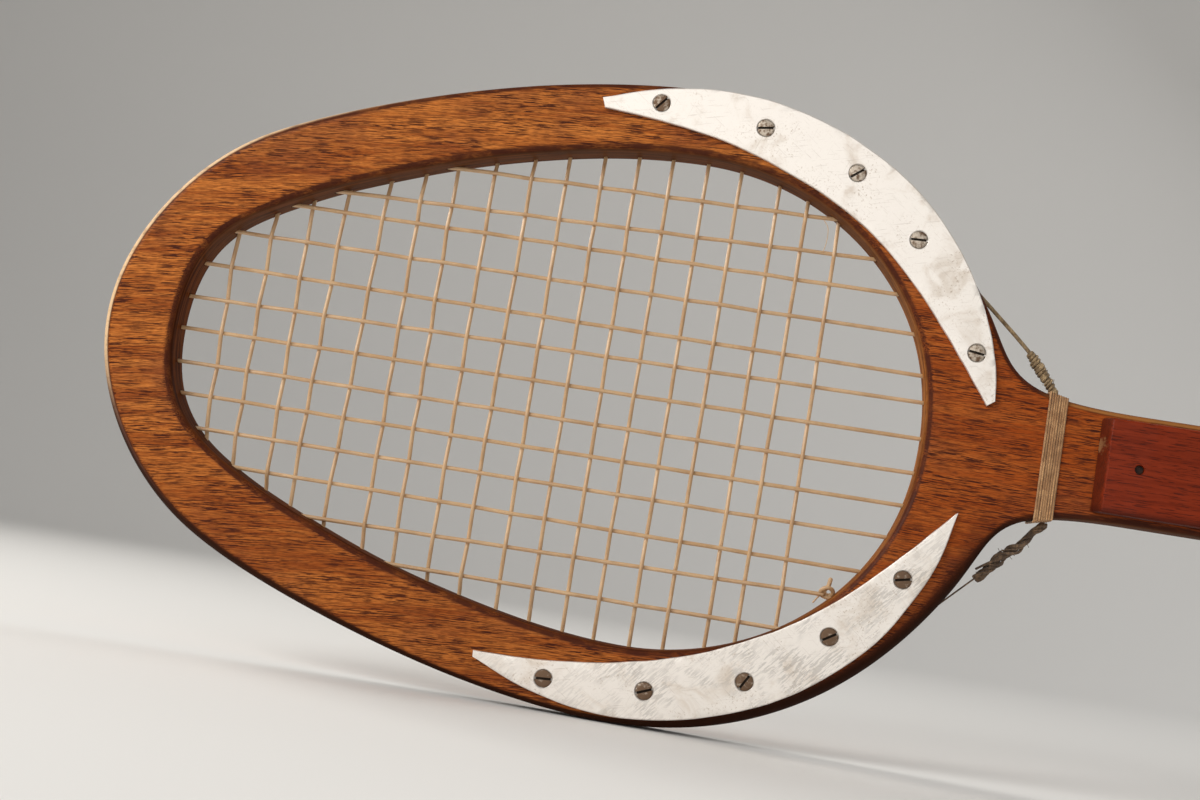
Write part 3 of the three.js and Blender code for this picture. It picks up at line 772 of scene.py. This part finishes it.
def shaded_corners_and_lit_dusty_walls(shade, tone, level, sideways, patches):
    """Painted shade on rounded corners and layered walls, dust and painted light on throat walls.
    """
    corner_shade_strength = shade.remap(shade.cloud(0.12, 3, 0.6), 0.3, 0.6, 0.6, 0.95)
    # painted shade: the rounded corners darkened where they turn away from the front face
    tone = shade.coat(tone, (0.065, 0.018, 0.01), shade.remap(level, 0.998, 0.93), corner_shade_strength)
    flat = shade.vector("MULTIPLY", shade.place, (0.03, 1, 0.03))
    layers = shade.remap(shade.noise(flat, 0.9, 3, 0.6), 0.38, 0.62)
    wall = shade.mix(layers, (0.045, 0.011, 0.003), (0.155, 0.042, 0.009))
    # painted shade: the walls darkened over their layered grain
    tone = shade.coat(tone, wall, sideways, 0.9)
    # dust on the walls near the throat that face the tip, also painted light from the lamp on that
    # side
    to_tip = shade.remap(shade.facing_x, -0.15, -0.75)
    dust_and_painted_light = shade.mix(layers, (0.15, 0.045, 0.01), (0.37, 0.14, 0.036))
    return shade.coat(tone, dust_and_painted_light, sideways, to_tip, shade.remap(shade.x, 40, 112), patches)


def bare_corners_and_painted_light(shade, tone, level, patches):
    """Pale bare wood and painted highlight round the tip, a browner painted sheen below it."""
    corner = shade.remap(level, 0.95, 0.86)
    to_tip = shade.remap(shade.facing_x, -0.2, -0.4)
    # bare wood with a pale painted highlight on the corners that face the tip, a browner painted
    # sheen lower down
    bare_highlight_and_sheen = shade.mix(shade.remap(shade.z, -5, -45), (0.7, 0.48, 0.28), (0.15, 0.068, 0.05))
    tone = shade.coat(tone, bare_highlight_and_sheen, corner, patches, to_tip, shade.remap(shade.x, -50, -90))
    # painted light: the handle's upward-facing corners made golden
    upwards = shade.remap(shade.facing_z, 0.2, 0.5)
    handle = shade.remap(shade.x, 150, 165)
    return shade.coat(tone, (0.44, 0.18, 0.05), upwards, handle, level, patches)


def shaded_edges(shade, tone, sideways, patches):
    """Grime on what faces down, and shade below the lower plate and under the handle."""
    downwards = shade.remap(shade.facing_z, -0.15, -0.65)
    tone = shade.coat(tone, (0.16, 0.085, 0.045), sideways, downwards, patches, 0.35)
    from_middle = shade.vector("SUBTRACT", shade.place, (30, 0, 0))
    from_middle = shade.vector("MULTIPLY", from_middle, (1, 0, 1))
    past_plate = shade.remap(shade.vector("LENGTH", from_middle), 105, 112)
    right, low = shade.remap(shade.x, 20, 60), shade.remap(shade.z, -12, -45, 0, 0.72)
    tone = shade.coat(tone, (0.055, 0.014, 0.006), past_plate, right, low)
    under = shade.remap(shade.facing_z, -0.08, -0.5)
    low = shade.remap(shade.z, -12, -30)
    return shade.coat(tone, (0.022, 0.007, 0.003), under, 0.93, low)


def redwood():
    shade = Shade("dark_red_wood")
    figure = shade.noise(along_grain(shade, 70, 3, 0), 1, 4, 0.6, 0.4)
    pores = shade.noise(along_grain(shade, 6, 0.36, 0), 1, 2, 0.5, 0.2)
    pores = shade.remap(pores, 0.56, 0.64)
    tone = shade.mix(shade.remap(figure, 0.35, 0.65), (0.225, 0.026, 0.006), (0.145, 0.015, 0.003))
    tone = shade.coat(tone, (0.045, 0.007, 0.004), pores, 0.7)
    return shade.finish(
        Base_Color=bevel_finish(shade, tone),
        Roughness=shade.remap(shade.cloud(0.2, 3), 0.35, 0.65, 0.38, 0.52),
        Normal=shade.bump(shade.cloud(0.12), 0.3, shade.dents(pores, 0.04)),
        Specular_IOR_Level=0.1,
        Coat_Weight=0.03,
    )


def bevel_finish(shade, tone):
    """The slab's ragged dark bevel with a dab of old glue on it, and the shade along its foot."""
    from_end = shade.number("ADD", shade.x, shade.times(shade.cloud(0.55, 4, 0.7), 5))
    tone = shade.coat(tone, (0.06, 0.014, 0.006), shade.remap(from_end, 180, 178.6), 0.6)
    tone = shade.coat(tone, (0.045, 0.007, 0.003), shade.remap(shade.z, -13, -16.4), 0.7)
    ragged = shade.number("ADD", shade.z, shade.times(shade.cloud(0.6, 4), 9))
    above, below = shade.remap(ragged, 8.5, 10), shade.remap(ragged, 14, 12)
    near_end = shade.remap(from_end, 179, 177.4)
    return shade.coat(tone, (0.3, 0.15, 0.065), above, below, near_end, 0.75)


def scratches(shade, angle, length, pitch, low):
    """Thin scratches across x and z at an angle in degrees, as a mask."""
    turned = shade.node(
        "ShaderNodeVectorRotate",
        {"Vector": shade.place, "Angle": math.radians(angle)},
        rotation_type="Y_AXIS",
    )
    squeezed = shade.vector("MULTIPLY", turned, (1 / length, 1 / pitch, 1 / pitch))
    return shade.remap(shade.noise(squeezed, 1, 2, 0.5, 0.1), low, low + 0.05)


def aluminium():
    shade = Shade("worn_aluminium")
    stain = shade.remap(shade.cloud(0.075, 5, 0.65, 0.6), 0.5, 0.72)
    dirty = shade.remap(shade.cloud(0.07, 3, 0.6), 0.47, 0.62, 0.15, 1)
    specks = shade.times(shade.remap(shade.cloud(1.3, 4, 0.7), 0.56, 0.68), dirty)
    marks = scratches(shade, 14, 9, 0.28, 0.65)
    for more in (scratches(shade, -38, 7, 0.24, 0.67), scratches(shade, 71, 12, 0.25, 0.68)):
        marks = shade.number("MAXIMUM", marks, more)
    lower = shade.remap(shade.z, -20, -50)
    brushed = scratches(shade, 48, 3.5, 0.5, 0.47)
    cloudy = shade.remap(shade.cloud(0.05, 3, 0.6), 0.42, 0.56)
    right = shade.remap(shade.x, -5, 30, 0.3, 1)
    tone = shade.mix(shade.times(stain, 0.5), (0.86, 0.81, 0.75), (0.57, 0.46, 0.35))
    tone = shade.coat(tone, (0.52, 0.5, 0.47), lower, 0.03)
    tone = shade.coat(tone, (0.4, 0.37, 0.34), brushed, cloudy, lower, right, 0.5)
    tone = shade.coat(tone, (0.4, 0.33, 0.27), marks, 0.35)
    tone = shade.coat(tone, (0.38, 0.28, 0.19), specks, 0.65)
    rough = shade.remap(stain, 0, 1, 0.38, 0.5)
    relief = shade.bump(shade.cloud(0.35, 3), 0.04, shade.dents(marks, 0.008))
    return shade.finish(Base_Color=tone, Metallic=0.5, Roughness=rough, Normal=relief)


def worn_steel():
    """Screw steel: rustier on the lower plate and on the upper one's first screw."""
    shade = Shade("worn_steel")
    low_ones = shade.remap(shade.z, 0, -40, 0, 0.2)
    first_one = shade.remap(shade.x, 14, 6, 0, 0.13)
    damp = shade.number("MAXIMUM", low_ones, first_one)
    spread = shade.number("ADD", shade.cloud(0.7, 4, 0.6), damp)
    rust = shade.remap(spread, 0.42, 0.66)
    slot_shade_depth = shade.remap(shade.y, PLATE_FRONT + 0.07, PLATE_FRONT + 0.35)
    tone = shade.mix(rust, (0.5, 0.43, 0.35), (0.17, 0.105, 0.065))
    # painted shade: the slots darkened to nearly black below the screw heads' faces
    tone = shade.coat(tone, (0.018, 0.012, 0.008), slot_shade_depth, 0.95)
    relief = shade.bump(shade.cloud(2.2, 3), 0.08)
    rough = shade.remap(rust, 0, 1, 0.34, 0.6)
    return shade.finish(Base_Color=tone, Metallic=0.8, Roughness=rough, Normal=relief)


def dark_steel():
    shade = Shade("dark_steel")
    rust = shade.remap(shade.cloud(0.8, 3), 0.4, 0.6)
    # nearly black: painted shade of the sunken nail holes, with rust mixed in
    tone = shade.mix(rust, (0.018, 0.013, 0.011), (0.04, 0.018, 0.01))
    return shade.finish(Base_Color=tone, Metallic=0.3, Roughness=0.75)


def gut():
    shade = Shade("gut_string")
    tint = shade.remap(shade.cloud(0.09, 3, 0.6), 0.35, 0.65)
    tone = shade.mix(tint, (0.71, 0.48, 0.27), (0.58, 0.365, 0.19))
    fibres = shade.cloud(1.6, 3)
    tone = shade.coat(tone, (0.38, 0.21, 0.11), shade.remap(fibres, 0.55, 0.75, 0, 0.4))
    return shade.finish(
        Base_Color=tone,
        Roughness=0.34,
        Normal=shade.bump(fibres, 0.03),
        IOR=1.5,
        Transmission_Weight=0.25,
        Subsurface_Weight=0.25,
        Subsurface_Scale=0.0008,
        Subsurface_Radius=(1, 0.75, 0.5),
    )


def twine(name, light, dark, rough=0.75):
    shade = Shade(name)
    soil = shade.remap(shade.cloud(0.3, 3, 0.6), 0.38, 0.64)
    fibres = shade.remap(shade.cloud(2.6, 3, 0.6, 0.5), 0.4, 0.65)
    drawn_out = shade.vector("MULTIPLY", shade.place, (1.6, 0.1, 0.06))
    strands = shade.remap(shade.noise(drawn_out, 1, 2), 0.38, 0.62)
    tone = shade.mix(soil, light, dark)
    tone = shade.coat(tone, tuple(0.6 * c for c in dark), strands, 0.55)
    tone = shade.coat(tone, tuple(0.4 * c for c in dark), fibres, 0.5)
    relief = shade.bump(fibres, 0.06)
    return shade.finish(
        Base_Color=tone, Roughness=rough, Normal=relief, Sheen_Weight=0.2, Sheen_Roughness=0.5
    )


# ------------------------------------------------------------------ the board


def edge_rings(loop, front_round, back_round, side, groove=None):
    """Rings over an edge of the board from its front face to its back. side is 1 for the outer
    edge and -1 for the opening; groove is the string groove's depth at each point."""
    rings = []
    for away, deep in arc((1, 1), 1, -1, -2, 7):
        rings.append(ring(inset(loop, side * front_round * away), FRONT_Y + front_round * deep))
    for t in (-1, -0.95, -0.8, -0.45, 0, 0.45, 0.8, 0.95, 1):
        depth = 0 if groove is None else groove * math.sqrt(1 - t**4)
        rings.append(ring(inset(loop, depth), BED_Y + t * GROOVE_HALF_WIDTH))
    for away, deep in arc((1, 1), 1, -2, -1, 6):
        rings.append(ring(inset(loop, side * back_round * away), BACK_Y - back_round * deep))
    return rings


def groove_depths(loop):
    """The string groove runs round the hoop and fades out on both shoulders."""
    x, z = loop[:, 0], loop[:, 1]
    shoulder_x, upper_end, lower_end, fade = 60, 54, -40, 4
    upper = np.clip((z - upper_end) / fade, 0, 1)
    lower = np.clip((lower_end - z) / fade, 0, 1)
    return GROOVE_DEPTH * np.where(x < shoulder_x, 1, np.maximum(upper, lower))


def string_holes():
    beyond = 4
    holes = []
    for main in MAINS:
        holes.append([main.entry + (beyond, 0, 0), main.tip_exit - (beyond, 0, 0)])
        way = (main.exit - main.bend) / np.linalg.norm(main.exit - main.bend)
        holes.append([main.bend - (beyond, 0, 0), main.bend, main.exit + beyond * way])
    for cross in CROSSES:
        walls, exits = (cross.upper_wall, cross.lower_wall), (cross.upper_exit, cross.lower_exit)
        for wall, leave in zip(walls, exits):
            way = (0, 0, math.copysign(beyond, wall[1]))
            holes.append([at_depth(wall, CROSS_Y) - way, leave + way])
    return mesh_of_tubes(*(tube(hole, HOLE_RADIUS, 14) for hole in holes))


def back_grooves():
    grooves = []
    for i in BACK_MAINS[::2]:
        ends = [(BACK_EXIT_X, BACK_Y, MAINS[j].throat_wall[1]) for j in (i, i + 1)]
        ends = [Vector(ends[0]) + Vector((0, 0, 1.6)), Vector(ends[1]) - Vector((0, 0, 1.6))]
        grooves.append(tube(ends, 1.7, 14))
    return mesh_of_tubes(*grooves)


def front_rounding(loop):
    """The corner round the front face, worn much rounder below the lower plate."""
    x, z = loop[:, 0], loop[:, 1]
    worn = np.interp(x, [10, 80, 130, 152], [0, 1, 1, 0]) * np.interp(z, [-45, -25], [1, 0])
    softer = np.interp(x, [-120, -40], [1.3, 0])
    return EDGE_ROUND + 3.4 * worn + softer + 0.35 * wander(len(loop), 11, 16)


def draw_frame():
    outer = inset(OUTER_LOOP, 0.12 * wander(len(OUTER_LOOP), 3, 14))
    opening = inset(OPENING_LOOP, 0.2 * wander(len(OPENING_LOOP), 5, 14))
    outer_rings = edge_rings(
        outer,
        front_rounding(outer),
        EDGE_ROUND - 0.2 + 0.2 * wander(len(outer), 12, 16),
        1,
        groove_depths(outer),
    )
    opening_rings = edge_rings(
        opening,
        EDGE_ROUND + 0.5 + 0.5 * wander(len(opening), 13, 16),
        EDGE_ROUND - 0.3 + 0.2 * wander(len(opening), 14, 16),
        -1,
    )
    whole = board(outer_rings, [opening_rings])
    made = carve(whole, string_holes(), back_grooves())
    add_piece("wooden_frame", made, hardwood(), ["frame"], 40)


def loose_fibre():
    """A hair split off the top main where it enters the throat."""
    x, z = MAINS[0].throat_wall
    bends = [(-4, 1.4, -0.8), (-2, 0.6, -4), (-1.8, 0.9, -9), (-2.6, 1.2, -13)]
    return tube(spline([(x + along, y, z + up) for along, y, up in bends], 6), 0.13, 6)


def draw_strings():
    paths = main_path(), cross_path()
    for name, path, seed, extras in zip(("main", "cross"), paths, (21, 22), ([loose_fibre()], [])):
        radius = STRING_RADIUS * (1 + 0.05 * wander(len(path), seed, 120))
        made = mesh_of_tubes(tube(path, radius, 10), *extras)
        add_piece(f"{name}_strings", made, GUT, [f"{name}_string"])


# ------------------------------------------------------------------ plates and screws

PLATE_BACK = FRONT_Y - 0.15
PLATE_THICKNESS = 1.6
PLATE_FRONT = PLATE_BACK - PLATE_THICKNESS
SLOT_LENGTH = 9


def screw_places(side):
    """Centres (x, z) of one plate's screws, from the middles of their CAD boxes."""
    made = []
    for i in range(1, 6):
        low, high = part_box(f"{side}_plate_screw_{i}")
        middle = to_drawing((Vector(low) + Vector(high)) / 2)
        made.append((middle.x, middle.z))
    return made


def screw_hole(x, z, seed):
    """Rings down a countersunk hole, a little out of round."""
    uneven = 1 + 0.02 * wander(28, seed, 4)
    rows = []
    for radius, depth in ((3.5, 0), (3.36, 0.12), (2.3, 1.3), (2.05, PLATE_THICKNESS)):
        loop = (circle(0, 0, radius, 28) * uneven[:, None]) + (x, z)
        rows.append(ring(loop, PLATE_FRONT + depth))
    return rows


def crescent(outer, inner):
    """A crescent's outline: out along one edge and back along the other, clockwise."""
    loop = np.vstack([spline(outer, 7), spline(inner, 9)])
    following = np.roll(loop, -1, 0)
    turning = np.sum(loop[:, 0] * following[:, 1] - following[:, 0] * loop[:, 1])
    return loop if turning < 0 else loop[::-1]


def draw_plate(side, outline, seed):
    loop = crescent(*outline)
    horns = np.array([outline[0][0], outline[0][-1]])
    to_horn = np.linalg.norm(loop[:, None] - horns, axis=2).min(1)
    taper = np.clip(to_horn / 5, 0.12, 1)  # the thin ends have no room for full bevels
    rough_cut = 0.12 * wander(len(loop), seed, 40)
    bevel = (0.42, 0), (0.22, 0.05), (0.07, 0.18), (0, 0.4), (0, 1.35), (0.15, PLATE_THICKNESS)
    rings = [
        ring(inset(loop, taper * (away + rough_cut)), PLATE_FRONT + depth) for away, depth in bevel
    ]
    holes = [screw_hole(x, z, seed + i) for i, (x, z) in enumerate(screw_places(side))]
    made = board(rings, holes, 2.2)
    for vertex in made.vertices:
        if vertex.co.y < PLATE_FRONT + 0.06:
            place = Vector((vertex.co.x, seed, vertex.co.z))
            vertex.co.y += 0.07 * noise.noise(place * 0.045) + 0.012 * noise.noise(place * 0.2)
    add_piece(f"{side}_trim_plate", made, ALUMINIUM, [f"{side}_plate"], 30)


def slot_tool(turn, width, depth):
    """A thin bar that cuts a screw's slot, turned by degrees from the long axis."""
    bm = bmesh.new()
    bmesh.ops.create_cube(bm, size=1)
    for vertex in bm.verts:
        flare = 1 + 0.25 * (vertex.co.y < 0)
        x, z = vertex.co.x * SLOT_LENGTH, vertex.co.z * width * flare
        turned = Vector((x, 0, z)) @ Quaternion((0, 1, 0), math.radians(turn)).to_matrix()
        vertex.co = (turned.x, vertex.co.y * 2 * depth, turned.z)
    return mesh_of(bm)


def draw_screw(side, number, place, turn):
    profile = [
        (0.12, -9), (0.9, -8), (1.45, -7), (1.45, -1.95), (3.04, -0.36), (3.13, -0.2),
        (3.08, -0.07), (2.85, 0.0), (2.0, 0.07), (0.9, 0.12), (0.2, 0.13),
    ]
    made = carve(lathe(profile, 40, 0.012, number), slot_tool(turn, 0.75, 0.8))
    for vertex in made.vertices:
        vertex.co += Vector((place[0], PLATE_FRONT + 0.12, place[1]))
    name = f"{side}_plate_screw_{number}"
    add_piece(f"{side}_wood_screw_{number}", made, STEEL, [name], 30)


def draw_plates():
    for side, outline, slots, seed in (
        ("upper", UPPER_PLATE, UPPER_SLOTS, 31),
        ("lower", LOWER_PLATE, LOWER_SLOTS, 47),
    ):
        draw_plate(side, outline, seed)
        for i, (place, turn) in enumerate(zip(screw_places(side), slots), 1):
            draw_screw(side, i, place, turn)


# ------------------------------------------------------------------ handle

SLAB_START = 174.5
SLAB_HALF_WIDTH = 16.5
SLAB_THICKNESS = 6
SLAB_NEAR = BACK_Y + 0.15
SLAB_FACE = SLAB_NEAR + SLAB_THICKNESS
SLAB_SPACING = 14  # about how far apart the points of its outline are
END_BEVEL = 2.6
EDGE_DEPTH = 5  # the bevel and the eased edges end this far below the face
NAILS_X = [188, 338, 488]
NAIL_HEAD = SLAB_FACE - 1.5  # the nails are driven below the slab's face


def slab_loop(start, end, half_width, corner=0.8):
    """The outline of a slab, clockwise, with slightly rounded corners."""
    left, right, top = start + corner, end - corner, half_width - corner
    corners = [(left, top), (right, top), (right, -top), (left, -top)]
    turns = zip(corners, (2, 1, 0, -1))
    loop = np.vstack([arc(middle, corner, first, first - 1, 4) for middle, first in turns])
    made = []
    for a, b in zip(loop, np.roll(loop, -1, 0)):
        parts = max(1, round(math.dist(a, b) / SLAB_SPACING))
        made.append(a + (b - a) * np.arange(parts)[:, None] / parts)
    return np.vstack(made)


def draw_slab(name, side):
    """One slab, its edges eased and its throat end bevelled. side is -1 for the front."""
    rings = []
    edge = (0.8, 0), (0.35, 0.1), (0.1, 0.35), (0, 0.8), (0, EDGE_DEPTH), (0, SLAB_THICKNESS)
    for away, depth in edge:
        start = SLAB_START + END_BEVEL * max(0, 1 - depth / EDGE_DEPTH) + 0.4 * away
        loop = slab_loop(start, BUTT_X - away, SLAB_HALF_WIDTH - away)
        rings.append(ring(loop, side * (SLAB_FACE - depth)))
    holes = []
    for x in NAILS_X:
        steps = ((1.8, 0), (1.62, 0.25), (1.6, 3), (1.1, 3.2), (1.1, SLAB_THICKNESS))
        holes.append([ring(circle(x, 0, r, 20), side * (SLAB_FACE - d)) for r, d in steps])
    made = board(rings, holes)
    add_piece(f"{name}_handle_slab", made, REDWOOD, [f"{name}_slab"], 35)


def draw_nail(name, number, x, side):
    profile = [
        (0.1, -11), (1, -9.5), (1, -1), (1.45, -0.5),
        (1.5, -0.15), (1.42, 0), (0.7, 0.05), (0.2, 0.06),
    ]
    made = lathe(profile, 20, 0.02, number)
    for vertex in made.vertices:
        height = NAIL_HEAD - vertex.co.y
        vertex.co = (vertex.co.x + x, side * height, vertex.co.z)
    if side > 0:
        made.flip_normals()
    node = f"{name}_slab_nail_{number}"
    add_piece(f"{name}_handle_nail_{number}", made, DARK_STEEL, [node])


def draw_handle():
    for name, side in (("front", -1), ("back", 1)):
        draw_slab(name, side)
        for i, x in enumerate(NAILS_X, 1):
            draw_nail(name, i, x, side)


# ------------------------------------------------------------------ whipping, ties and knot

CORNER_STEPS = 6  # points round one corner of the neck


def neck_half_width(x, side=UPPER):
    return abs(crossing(OUTER_LOOP, 0, x, side)[1])


def neck_turn(x, lift):
    """One turn round the neck's rounded section, as (y, z), from the front face downwards."""
    radius = EDGE_ROUND + lift
    flat_y = BACK_Y - EDGE_ROUND
    upper = neck_half_width(x) - EDGE_ROUND
    lower = EDGE_ROUND - neck_half_width(x, LOWER)
    corners = [(-flat_y, lower), (flat_y, lower), (flat_y, upper), (-flat_y, upper)]
    made = []
    for quarter, middle in enumerate(corners, 2):
        made += list(arc(middle, radius, quarter, quarter + 1, CORNER_STEPS))
    return made


def draw_whipping():
    """One strand wound turn beside turn round the neck, both its ends on the back."""
    start_x, turns, pitch, radius = 155.2, 9, 0.83, 0.42
    rng = random.Random(5)
    path = []
    for turn in range(turns):
        section = neck_turn(start_x + turn * pitch, radius + 0.02)
        for i, (y, z) in enumerate(section):
            x = start_x + pitch * (turn + i / len(section)) + rng.uniform(-0.06, 0.06)
            path.append((x, y, z))
    on_back = 2 * CORNER_STEPS
    smooth = spline(path[on_back:-on_back], 3)
    strand = tube(smooth, radius * (1 + 0.08 * wander(len(smooth), 9, 90)), 8)
    made = mesh_of_tubes(strand)
    add_piece("throat_whipping_strand", made, PALE_TWINE, ["throat_whipping"], 60)


NECK_TIE_X = 158.8
NECK_TIE_Z = neck_half_width(NECK_TIE_X) + 1.9


def in_groove(z):
    """A point at the back of the shoulder's string groove at the height z."""
    return at_depth(crossing(STRING_LOOP, 1, z, THROAT), CROSS_Y)


UPPER_TIE = [
    in_groove(79), in_groove(71), in_groove(63.5), (148.2, 0, 36.6), (NECK_TIE_X, 0, NECK_TIE_Z),
]
LOWER_TIE = [
    in_groove(-77), in_groove(-70), in_groove(-63.5), (143.1, 0, -42.2), (153.9, 0, -31.5),
    (161, 0, -NECK_TIE_Z),
]


def draw_tie(side, cord_name, line, radius, end_name, bundle, look):
    """A cord from the hoop to the neck, and the bundle of strands at its end."""
    cord = mesh_of_tubes(tube(spline(line, 10), radius))
    add_piece(f"{side}_tie_{cord_name}", cord, look, [f"{side}_tie"])
    made = mesh_of_tubes(*bundle)
    add_piece(f"{side}_tie_{end_name}", made, look, [f"{side}_tie_coil"], 60)


def upper_wrap():
    """The end of the upper tie, wound up at the neck."""
    rng = random.Random(2)
    start, end = Vector(UPPER_TIE[3]), Vector(UPPER_TIE[4])
    strands = twisted(rng, start, end, 4, (5, 7.5), (1.1, 1.75), (0.42, 0.62))
    return strands + frays(rng, start, end, 9, 2.2)


def twisted(rng, start, end, count, turns, wide, thick):
    """Strands wound loosely round a line, each bulging in its own places."""
    made = []
    for i in range(count):
        reach, waves = rng.uniform(*wide), rng.uniform(0, 6)

        def radius(share, reach=reach, waves=waves):
            swell = 0.6 + 0.4 * math.sin(math.pi * min(1, 0.1 + share))
            return reach * (swell + 0.14 * math.sin(11 * share + waves))

        path = coiled(start, end, rng.uniform(*turns), radius, 2 * math.pi * i / count)
        made.append(tube(path, rng.uniform(*thick), 8))
    return made


def frays(rng, start, end, count, length):
    """Short hairs that stand off a wound cord."""
    made = []
    for _ in range(count):
        root = start.lerp(end, rng.uniform(0, 1))
        away = Vector([rng.uniform(-length, length) for _ in range(3)])
        bent = root + away * 0.5 + Vector((rng.uniform(-0.6, 0.6), 0, rng.uniform(-0.6, 0.6)))
        made.append(tube(spline([root, bent, root + away], 5), 0.1, 5))
    return made


def lower_bundle():
    """The end of the lower tie, a dark frayed bundle with a tail."""
    rng = random.Random(8)
    start = Vector(LOWER_TIE[3]) - Vector((3, 0, 3.4))
    end = Vector(LOWER_TIE[5]) + Vector((0.8, 0, 1.0))
    strands = twisted(rng, start, end, 12, (1.6, 3.4), (0.8, 2.1), (0.26, 0.55))
    strands += frays(rng, start, end, 16, 3.0)
    root = start.lerp(end, 0.35) + Vector((0, -0.9, 0.4))
    tail = spline([root, root + Vector((-4, -0.6, -2.2)), root + Vector((-8, -0.4, -5))])
    return [*strands, tube(tail, 0.42, 8)]


def draw_knot():
    """An overhand knot where the main string starts, its short end standing up."""
    corners = [
        (3.2, 0.6, -2.8), (0.8, 0.9, -2.5), (-1.7, 0.9, -1.9), (-2.8, 0.0, -0.4), (-1.8, -1.2, 1.2),
        (0.4, -1.4, 2.0), (2.3, -0.6, 1.2), (2.7, 0.6, -0.4), (1.0, 1.3, -1.5), (-0.9, 0.8, -0.8),
        (-1.0, -0.1, 0.8), (0.3, -0.5, 2.8), (0.9, -0.5, 6.2),
    ]
    centre = Vector((KNOT_X + 1.1, MAIN_Y, KNOTTED.at(KNOT_X) + 1.1))
    path = spline([centre + 0.78 * Vector(c) for c in corners], 8)
    split_end = (-0.9, 0.3, -0.8), (-2.6, 0.5, -2.0), (-4.3, 0.4, -4.4)
    hair = tube(spline([centre + Vector(c) for c in split_end]), 0.3, 8)
    made = mesh_of_tubes(tube(path, 0.78), hair)
    add_piece("main_string_end_knot", made, GUT, ["main_string_knot"], 60)


# ------------------------------------------------------------------ stage, lights and camera


def plain(name, colour, roughness):
    material = bpy.data.materials.new(name)
    material.use_nodes = True
    surface = material.node_tree.nodes["Principled BSDF"]
    surface.inputs["Base Color"].default_value = (*colour, 1)
    surface.inputs["Roughness"].default_value = roughness
    return material


def draw_stage():
    """A seamless pale sheet: floor, a wide bend, and a backdrop."""
    width, front, bend_y, bend = 9.0, -9.0, 1.1, 0.7
    top, gap = 3.2, 0.0004  # the gap keeps the paper from touching the racket
    line = [(front, 0), *arc((bend_y, bend), bend, -1, 0, 24), (bend_y + bend, top)]
    verts = [(x, y, z - gap) for y, z in line for x in (-width, width)]
    faces = [(2 * i, 2 * i + 1, 2 * i + 3, 2 * i + 2) for i in range(len(line) - 1)]
    sheet = bpy.data.meshes.new("backdrop")
    sheet.from_pydata(verts, [], faces)
    sheet.shade_smooth()
    sheet.materials.append(plain("backdrop_paper", (0.82, 0.81, 0.79), 0.95))
    thing = placed("backdrop", sheet)


def add_light(name, place, target, size, watts, spread=180, colour=(1, 1, 1)):
    light = bpy.data.lights.new(name, "AREA")
    light.shape = "RECTANGLE"
    light.size, light.size_y = size
    light.energy = watts
    light.spread = math.radians(spread)
    light.color = colour
    thing = placed(name, light)
    thing.location = place
    thing.rotation_euler = (Vector(target) - Vector(place)).to_track_quat("-Z", "Y").to_euler()


def draw_lights():
    middle = (-0.1, 0, 0.11)
    add_light("key_window", (-1.2, -0.9, 0.8), middle, (0.8, 0.8), 8, 130, (1, 0.98, 0.95))
    add_light("plate_softbox", (-0.35, -1.9, 0.65), middle, (1.8, 1.3), 10, 180, (1, 0.98, 0.96))
    add_light("rim_from_left", (-1.4, 0.5, 0.95), middle, (0.5, 0.8), 3, 90, (1, 0.97, 0.92))
    add_light("back_fill", (0.9, 1.0, 1.2), middle, (1.0, 1.0), 6)
    world = bpy.data.worlds.new("pale_room")
    world.use_nodes = True
    background = world.node_tree.nodes["Background"]
    background.inputs["Color"].default_value = (1.0, 0.98, 0.95, 1)
    background.inputs["Strength"].default_value = 0.22
    bpy.context.scene.world = world


def draw_camera():
    """The photograph's view: from the left of the front, just above the floor, a little rolled."""
    target, distance = Vector((-0.158, -0.008, 0.1114)), 0.594
    pan, tilt, roll = math.radians(5), math.radians(5.5), math.radians(9.35)
    away = Vector(
        (math.sin(pan) * math.cos(tilt), -math.cos(pan) * math.cos(tilt), -math.sin(tilt))
    )
    right = Vector((0, 0, 1)).cross(away).normalized()
    up = away.cross(right)
    turned_right = right * math.cos(roll) + up * math.sin(roll)
    turned_up = up * math.cos(roll) - right * math.sin(roll)
    lens = bpy.data.cameras.new("main_view")
    lens.lens = 50
    lens.sensor_width = 36
    lens.clip_start = 0.02
    thing = placed("main_view", lens)
    turn = Matrix((turned_right, turned_up, away)).transposed()
    thing.matrix_world = Matrix.Translation(target + distance * away) @ turn.to_4x4()
    bpy.context.scene.camera = thing


# ------------------------------------------------------------------ the racket

GUT = gut()
ALUMINIUM = aluminium()
STEEL = worn_steel()
DARK_STEEL = dark_steel()
REDWOOD = redwood()
PALE_TWINE = twine("pale_twine", (0.61, 0.345, 0.155), (0.40, 0.20, 0.08))
OLIVE_TWINE = twine("olive_twine", (0.56, 0.39, 0.20), (0.24, 0.15, 0.065), 0.6)
DARK_TWINE = twine("dark_twine", (0.27, 0.165, 0.09), (0.095, 0.053, 0.028), 0.85)

draw_frame()
draw_strings()
draw_plates()
draw_handle()
draw_whipping()
draw_tie("upper", "string", UPPER_TIE, 0.74, "wrap", upper_wrap(), OLIVE_TWINE)
draw_tie("lower", "thread", LOWER_TIE, 0.3, "bundle", lower_bundle(), DARK_TWINE)
draw_knot()
draw_stage()
draw_lights()
draw_camera()
bpy.context.scene.view_settings.view_transform = "Standard"
